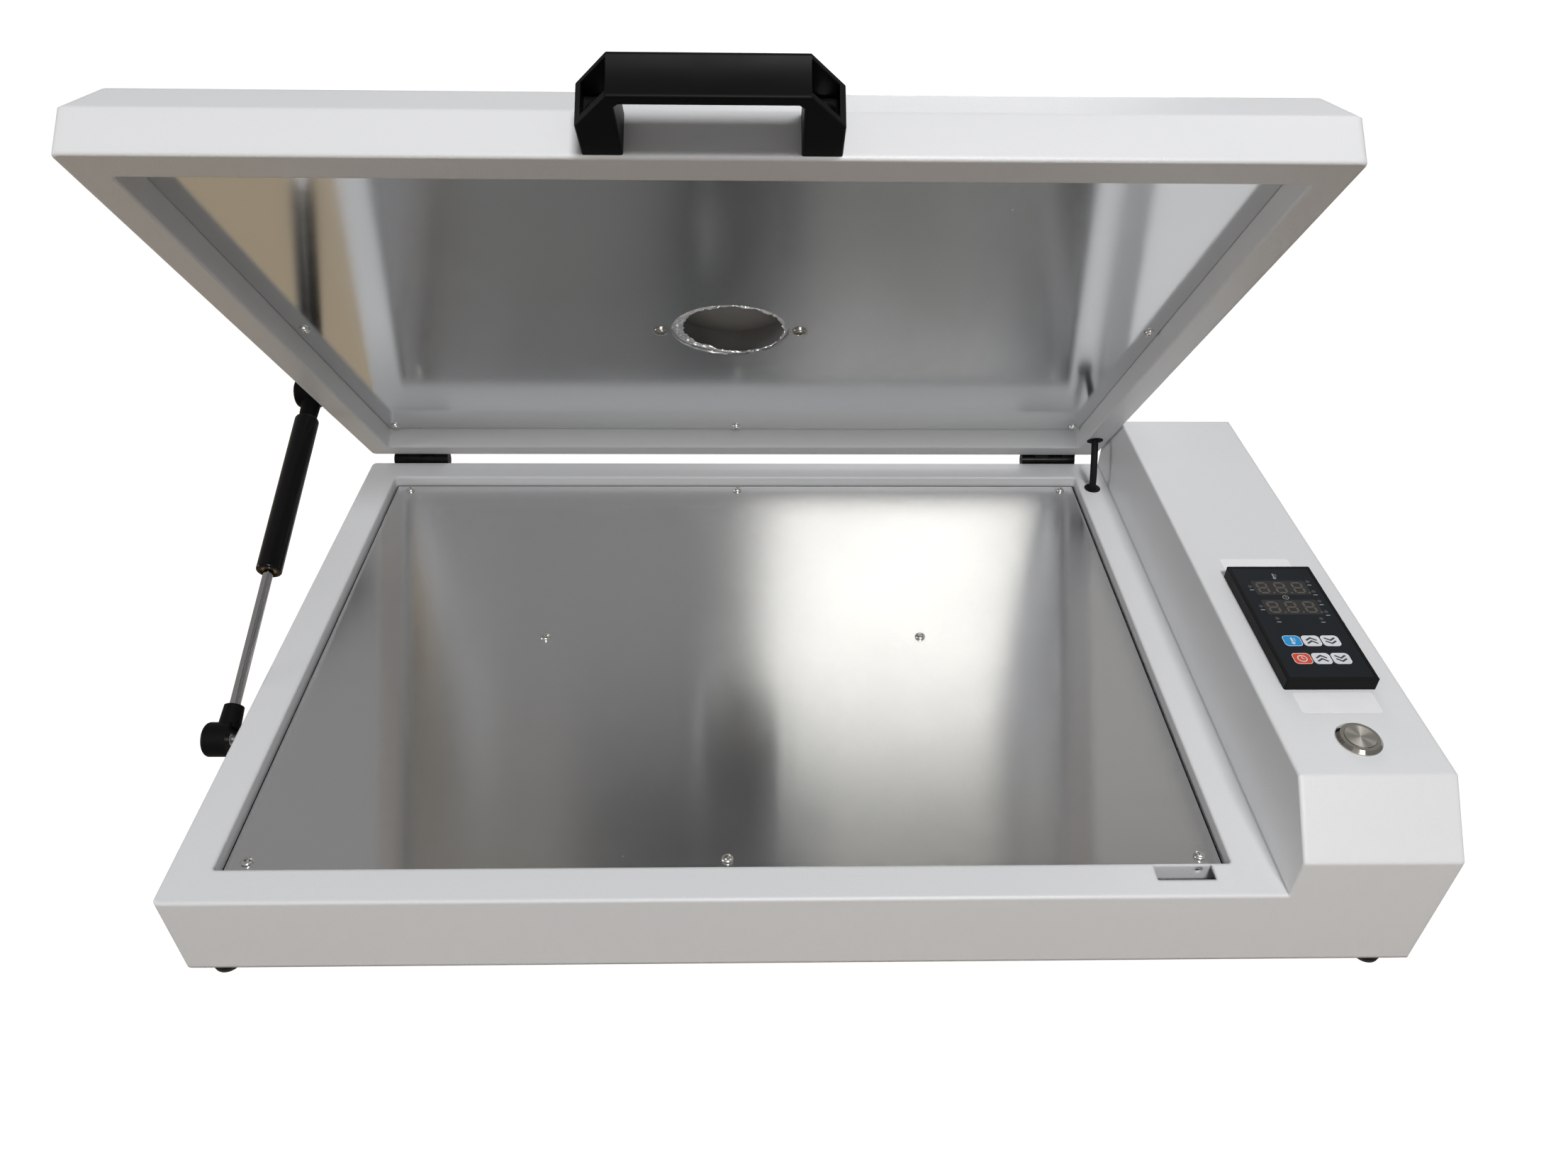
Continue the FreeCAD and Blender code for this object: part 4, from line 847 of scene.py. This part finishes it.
FOIL_STEPS = 300
TEAR_RINGS = 12
FOIL_SHEET = 0.12 * MM
# Radii at which the foil lies flat on the heater, starts to drop and lies behind the liner
FOIL_FLAT = 40.0 * MM
FOIL_BEND = 36.7 * MM
FOIL_DROP = 36.2 * MM
# Radius at which it shows, and the radius from which the torn width is taken
FOIL_TUCK = 34.2 * MM
TEAR_FROM = 34.5
# The torn opening lies off the vent's middle by this, towards the hinge.
TEAR_SHIFT = Vector((0, 2.2 * MM, 0))
# Width of foil that shows inside the vent, in millimetres, by degrees from the right towards the hinge
FOIL_WIDTHS = ((0, 3.0), (45, 2.8), (75, 3.0), (95, 4.4), (115, 8.0), (135, 9.5), (160, 8.0), (185, 6.8),
               (208, 5.6), (230, 3.4), (250, 2.6), (270, 2.2), (300, 2.0), (330, 2.6), (360, 3.0))
# Slow and sharp part of the ragged tear in millimetres, and how fast they change round the vent
SLOW_RAG = 0.8
SHARP_RAG = 0.9
RAG_RATE = 6.0
# Folds and creases of the crumpled strip, and how far it may stand back or forward
FOLD_HEIGHT = 2.6
FOLD_RATE = 4.2
FOLD_DRIFT = 2.4
CREASE_HEIGHT = 0.6
CREASE_SIZE = 3.0 * MM
CRUMPLE_MEAN = 0.2
LEAN = 0.6 * MM
FURTHEST_BACK = -1.0 * MM
FURTHEST_OUT = 1.4 * MM


def foil_width(degrees):
    for (start, first), (end, second) in zip(FOIL_WIDTHS, FOIL_WIDTHS[1:]):
        if degrees <= end:
            share = (degrees - start) / (end - start)
            return first + (second - first) * share * share * (3 - 2 * share)


def edge_reach(way, centre, low, high):
    """Distance from the vent's middle to the facing's edge."""
    reaches = []
    for axis in (0, 1):
        if abs(way[axis]) > 1e-6:
            reaches.append(((high if way[axis] > 0 else low)[axis] - centre[axis]) / way[axis])
    return min(reaches)


def torn_strip(way, degrees, centre, behind):
    """Crumpled foil from under the liner's edge to the tear, in one direction."""
    spot = way * RAG_RATE
    ragged = noise.fractal(spot * 1.3, 0.7, 2.2, 5) * SLOW_RAG + SHARP_RAG * abs(noise.noise(spot * 4.0))
    tuck = centre + way * FOIL_TUCK
    tear = centre + way * (TEAR_FROM - foil_width(degrees) - ragged) * MM + TEAR_SHIFT
    strip = []
    for ring in range(TEAR_RINGS + 1):
        share = ring / TEAR_RINGS
        place = tuck.lerp(tear, share)
        fold = abs(noise.noise(way * FOLD_RATE + Vector((0, 0, share * FOLD_DRIFT)))) - CRUMPLE_MEAN
        crease = abs(noise.noise(place / CREASE_SIZE)) - CRUMPLE_MEAN
        crumple = (fold * FOLD_HEIGHT + crease * CREASE_HEIGHT) * MM
        forward = share * LEAN + crumple * min(share * 3, 1)
        place.z = behind - min(max(forward, FURTHEST_BACK), FURTHEST_OUT)
        strip.append(place)
    return strip


def foil_sheet():
    low, high = shut_box("foil_facing")
    cup_low, cup_high = shut_box("vent_cup")
    centre = Vector(((cup_low.x + cup_high.x) / 2, (cup_low.y + cup_high.y) / 2, 0))
    behind = shut_box("lid_liner")[1].z + 2 * FOIL_SHEET
    strips = []
    for step in range(FOIL_STEPS):
        turn = 2 * math.pi * step / FOIL_STEPS
        way = Vector((math.cos(turn), math.sin(turn), 0))
        flat = ((edge_reach(way, centre, low, high), low.z), (FOIL_FLAT, low.z), (FOIL_BEND, low.z),
                (FOIL_DROP, behind))
        strip = [centre + way * radius + Vector((0, 0, height)) for radius, height in flat]
        strips.append(strip + torn_strip(way, math.degrees(turn), centre, behind))
    rings = list(zip(*strips))
    points = [LIFT @ point for ring in rings for point in ring]
    back = [LIFT @ (point + Vector((0, 0, FOIL_SHEET))) for ring in rings for point in ring]
    count = len(points)
    last = len(rings) - 1
    faces = []
    for step in range(FOIL_STEPS):
        following = (step + 1) % FOIL_STEPS
        for ring in range(last):
            a, b = ring * FOIL_STEPS + step, ring * FOIL_STEPS + following
            c, d = b + FOIL_STEPS, a + FOIL_STEPS
            faces.append([a, d, c, b])
            faces.append([count + a, count + b, count + c, count + d])
        faces.append([step, following, count + following, count + step])
        a, b = last * FOIL_STEPS + step, last * FOIL_STEPS + following
        faces.append([count + a, count + b, b, a])
    mesh = mesh_of("torn_foil", points + back, faces)
    new_piece("torn_foil", mesh, "lid", FOIL, ("foil_facing",))


# Lead between the base and the lid

def lid_lead():
    deck_low, deck_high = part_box("deck_grommet")
    lid_low, lid_high = shut_box("lid_grommet")
    deck_exit = Vector(((deck_low.x + deck_high.x) / 2, (deck_low.y + deck_high.y) / 2, deck_high.z))
    lid_exit = LIFT @ Vector(((lid_low.x + lid_high.x) / 2, (lid_low.y + lid_high.y) / 2, lid_low.z))
    inward = LIFT.to_3x3() @ Vector((0, 0, 1))
    upward = Vector((0, 0, 1))
    aside = Vector((-LEAD_BOW, 0, 0))
    route = [deck_exit - upward * depth for depth in LEAD_DEPTHS]
    route += [deck_exit, deck_exit + upward * LEAD_STRAIGHT + aside,
              lid_exit - inward * LEAD_STRAIGHT + aside, lid_exit, lid_exit + inward * LEAD_IN_LID]
    curve = bpy.data.curves.new("lead_route", "CURVE")
    curve.dimensions = "3D"
    spline = curve.splines.new("NURBS")
    spline.points.add(len(route) - 1)
    for point, place in zip(spline.points, route):
        point.co = (*place, 1.0)
    spline.order_u = 3
    spline.use_endpoint_u = True
    spline.resolution_u = 10
    curve.bevel_depth = LEAD_DIAMETER / 2
    curve.bevel_resolution = 6
    curve.use_fill_caps = True
    holder = bpy.data.objects.new("lead_route", curve)
    bpy.context.scene.collection.objects.link(holder)
    mesh = shaped_mesh(holder)
    bpy.data.objects.remove(holder)
    mesh.name = "lid_lead_jacket"
    lead = finished("lid_lead_jacket", mesh, RUBBER)
    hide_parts("lid_lead")
    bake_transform(lead)


# Stage, light and camera

# Left, right, near and far edge of the floor
FLOOR_SPAN = (-9, 9, -9, 9)
FLOOR_TINT = (0.37, 0.31, 0.25)
FLOOR_GLOW = 0.90
ROOM_LIGHT = 0.20
ROOM_IN_METAL = 0.27
# Heights of the cards on the bench, of the mats on them and of the cards over the oven
BENCH = 0.002
MAT = 0.004
OVERHEAD = 0.84
DAYLIGHT = (1.0, 0.98, 0.95)
SUNLIT = (1.0, 0.98, 0.90)
SHADE = (0.9, 0.97, 1.0)


def staged(piece):
    bpy.context.scene.collection.objects.link(piece)
    return piece


def flat_corners(x0, x1, y0, y1, z):
    return [Vector((x0, y0, z)), Vector((x1, y0, z)), Vector((x1, y1, z)), Vector((x0, y1, z))]


def facing_corners(turns, rises, distance):
    """Upright card round the oven, by compass angles from the front and heights in degrees."""
    corners = []
    for side, end in ((0, 0), (1, 0), (1, 1), (0, 1)):
        turn, rise = math.radians(turns[side]), math.radians(rises[end])
        corners.append(Vector((math.sin(turn), -math.cos(turn), math.tan(rise))) * distance)
    return corners


def stage_floor():
    """White floor to the eye that still takes the oven's shadow."""
    mesh = mesh_of("floor", flat_corners(*FLOOR_SPAN, 0), [[0, 1, 2, 3]])
    material, tree, shader = new_material("pale_floor", Roughness=0.9, Specular_IOR_Level=0.0,
                                          Base_Color=FLOOR_TINT, Emission_Color=(1.0, 1.0, 1.0))
    path = add(tree, "LightPath").outputs
    seen = math_node(tree, "ADD", path["Is Camera Ray"], path["Is Glossy Ray"])
    seen = math_node(tree, "ADD", seen, path["Is Transmission Ray"])
    tree.links.new(math_node(tree, "MULTIPLY", seen, FLOOR_GLOW), shader.inputs["Emission Strength"])
    mesh.materials.append(material)
    staged(bpy.data.objects.new("floor", mesh))


def card(name, corners, colour, strength):
    """Card or screen beyond the picture, seen only in the metal."""
    mesh = mesh_of(name, corners, [[0, 1, 2, 3]])
    material = new_material(name, Base_Color=(0, 0, 0), Specular_IOR_Level=0.0,
                            Emission_Color=colour, Emission_Strength=strength)[0]
    mesh.materials.append(material)
    sheet = staged(bpy.data.objects.new(name, mesh))
    sheet.visible_camera = False
    sheet.visible_diffuse = False
    sheet.visible_shadow = False
    sheet.visible_transmission = False
    return sheet


def area_light(name, place, target, size, power):
    light = bpy.data.lights.new(name, "AREA")
    light.shape = "RECTANGLE"
    light.size, light.size_y = size
    light.energy = power
    lamp = bpy.data.objects.new(name, light)
    lamp.location = place
    lamp.visible_camera = False
    lamp.rotation_mode = "QUATERNION"
    lamp.rotation_quaternion = (Vector(target) - Vector(place)).to_track_quat("-Z", "Y")
    bpy.context.scene.collection.objects.link(lamp)
    return lamp


def share_light(lamp, names, state):
    """Keeps a lamp or card to these objects, or off them."""
    shared = bpy.data.collections.new(lamp.name + "_objects")
    for name in names:
        shared.objects.link(bpy.data.objects[name])
    lamp.light_linking.receiver_collection = shared
    for entry in shared.collection_objects:
        entry.light_linking.link_state = state


def room():
    """White to the eye, and dimmer as light and in the metal."""
    world = bpy.data.worlds.new("studio")
    bpy.context.scene.world = world
    world.use_nodes = True
    tree = world.node_tree
    background = tree.nodes["Background"]
    background.inputs["Color"].default_value = (1.0, 1.0, 1.0, 1.0)
    path = add(tree, "LightPath").outputs
    seen = math_node(tree, "ADD", path["Is Camera Ray"], path["Is Transmission Ray"])
    mirrored = ramp(tree, path["Is Glossy Ray"], 0.0, 1.0, ROOM_LIGHT, ROOM_IN_METAL)
    tree.links.new(math_node(tree, "MAXIMUM", seen, mirrored), background.inputs["Strength"])


def lamps_and_cards():
    """The lamps miss the bare sheets, which mirror the cards instead."""
    plate = nodes["heat_plate"].name
    liner = nodes["lid_liner"].name
    for lamp in (
        area_light("key", place=(0.35, -1.75, 2.55), target=(0, 0, 0.1), size=(0.6, 0.6), power=61.0),
        area_light("left_fill", place=(-2.2, -0.3, 0.28), target=(0.235, 0.10, 0.09), size=(0.6, 0.3),
                   power=9.0),
        area_light("back_fill", place=(0.5, 2.9, 0.95), target=(0, 0, 0.2), size=(1.2, 0.8), power=21.0),
    ):
        share_light(lamp, (plate, liner), "EXCLUDE")
    glint = area_light("foil_glint", place=(0.15, -1.2, 0.62), target=(-0.03, 0.08, 0.23), size=(0.9, 0.24),
                       power=5.0)
    share_light(glint, ("torn_foil", "vent_screws_heads"), "INCLUDE")
    card("bright_screen", facing_corners((0, 23), (34, 47), 3.0), SUNLIT, 6.9)
    card("grey_screen", facing_corners((-40, 1), (30, 60), 3.2), DAYLIGHT, 0.52)
    card("dark_screen", facing_corners((-7, 3.5), (-2, 34), 1.6), SHADE, 0.03)
    card("bench_card", flat_corners(*FLOOR_SPAN, BENCH), (1.0, 0.93, 0.82), 0.23)
    card("dark_mat", flat_corners(-0.24, 0.07, -1.6, -0.26, MAT), SHADE, 0.03)
    card("warm_mat", flat_corners(-0.9, -0.31, -0.1, 0.5, MAT), (1.0, 0.82, 0.58), 0.38)
    card("rear_card", flat_corners(0.30, 1.30, 0.27, 1.30, OVERHEAD), (1.0, 0.99, 0.95), 0.38)
    over_button = card("button_card", flat_corners(0.33, 0.63, -0.04, 0.26, OVERHEAD),
                       (1.0, 0.98, 0.94), 2.5)
    share_light(over_button, (plate,), "EXCLUDE")


def photo_camera():
    yaw, pitch = CAMERA_YAW, CAMERA_PITCH
    ahead = Vector((math.sin(yaw) * math.cos(pitch), math.cos(yaw) * math.cos(pitch), -math.sin(pitch)))
    level = Vector((math.cos(yaw), -math.sin(yaw), 0))
    above = level.cross(ahead)
    right = level * math.cos(CAMERA_ROLL) + above * math.sin(CAMERA_ROLL)
    up = above * math.cos(CAMERA_ROLL) - level * math.sin(CAMERA_ROLL)
    data = bpy.data.cameras.new("photo_camera")
    data.sensor_width = SENSOR
    data.lens = SENSOR * FOCAL_PIXELS / IMAGE_WIDTH
    data.clip_start = 0.01
    camera = bpy.data.objects.new("photo_camera", data)
    camera.matrix_world = Matrix((
        (right.x, up.x, -ahead.x, CAMERA_PLACE.x),
        (right.y, up.y, -ahead.y, CAMERA_PLACE.y),
        (right.z, up.z, -ahead.z, CAMERA_PLACE.z),
        (0, 0, 0, 1)))
    bpy.context.scene.collection.objects.link(camera)
    bpy.context.scene.camera = camera


bpy.context.scene.view_settings.view_transform = "Standard"
photo_camera()
lid_lead()
dress_cad_nodes()
all_screws()
controller_front()
key_prints()
stickers()
foil_sheet()
stage_floor()
room()
lamps_and_cards()
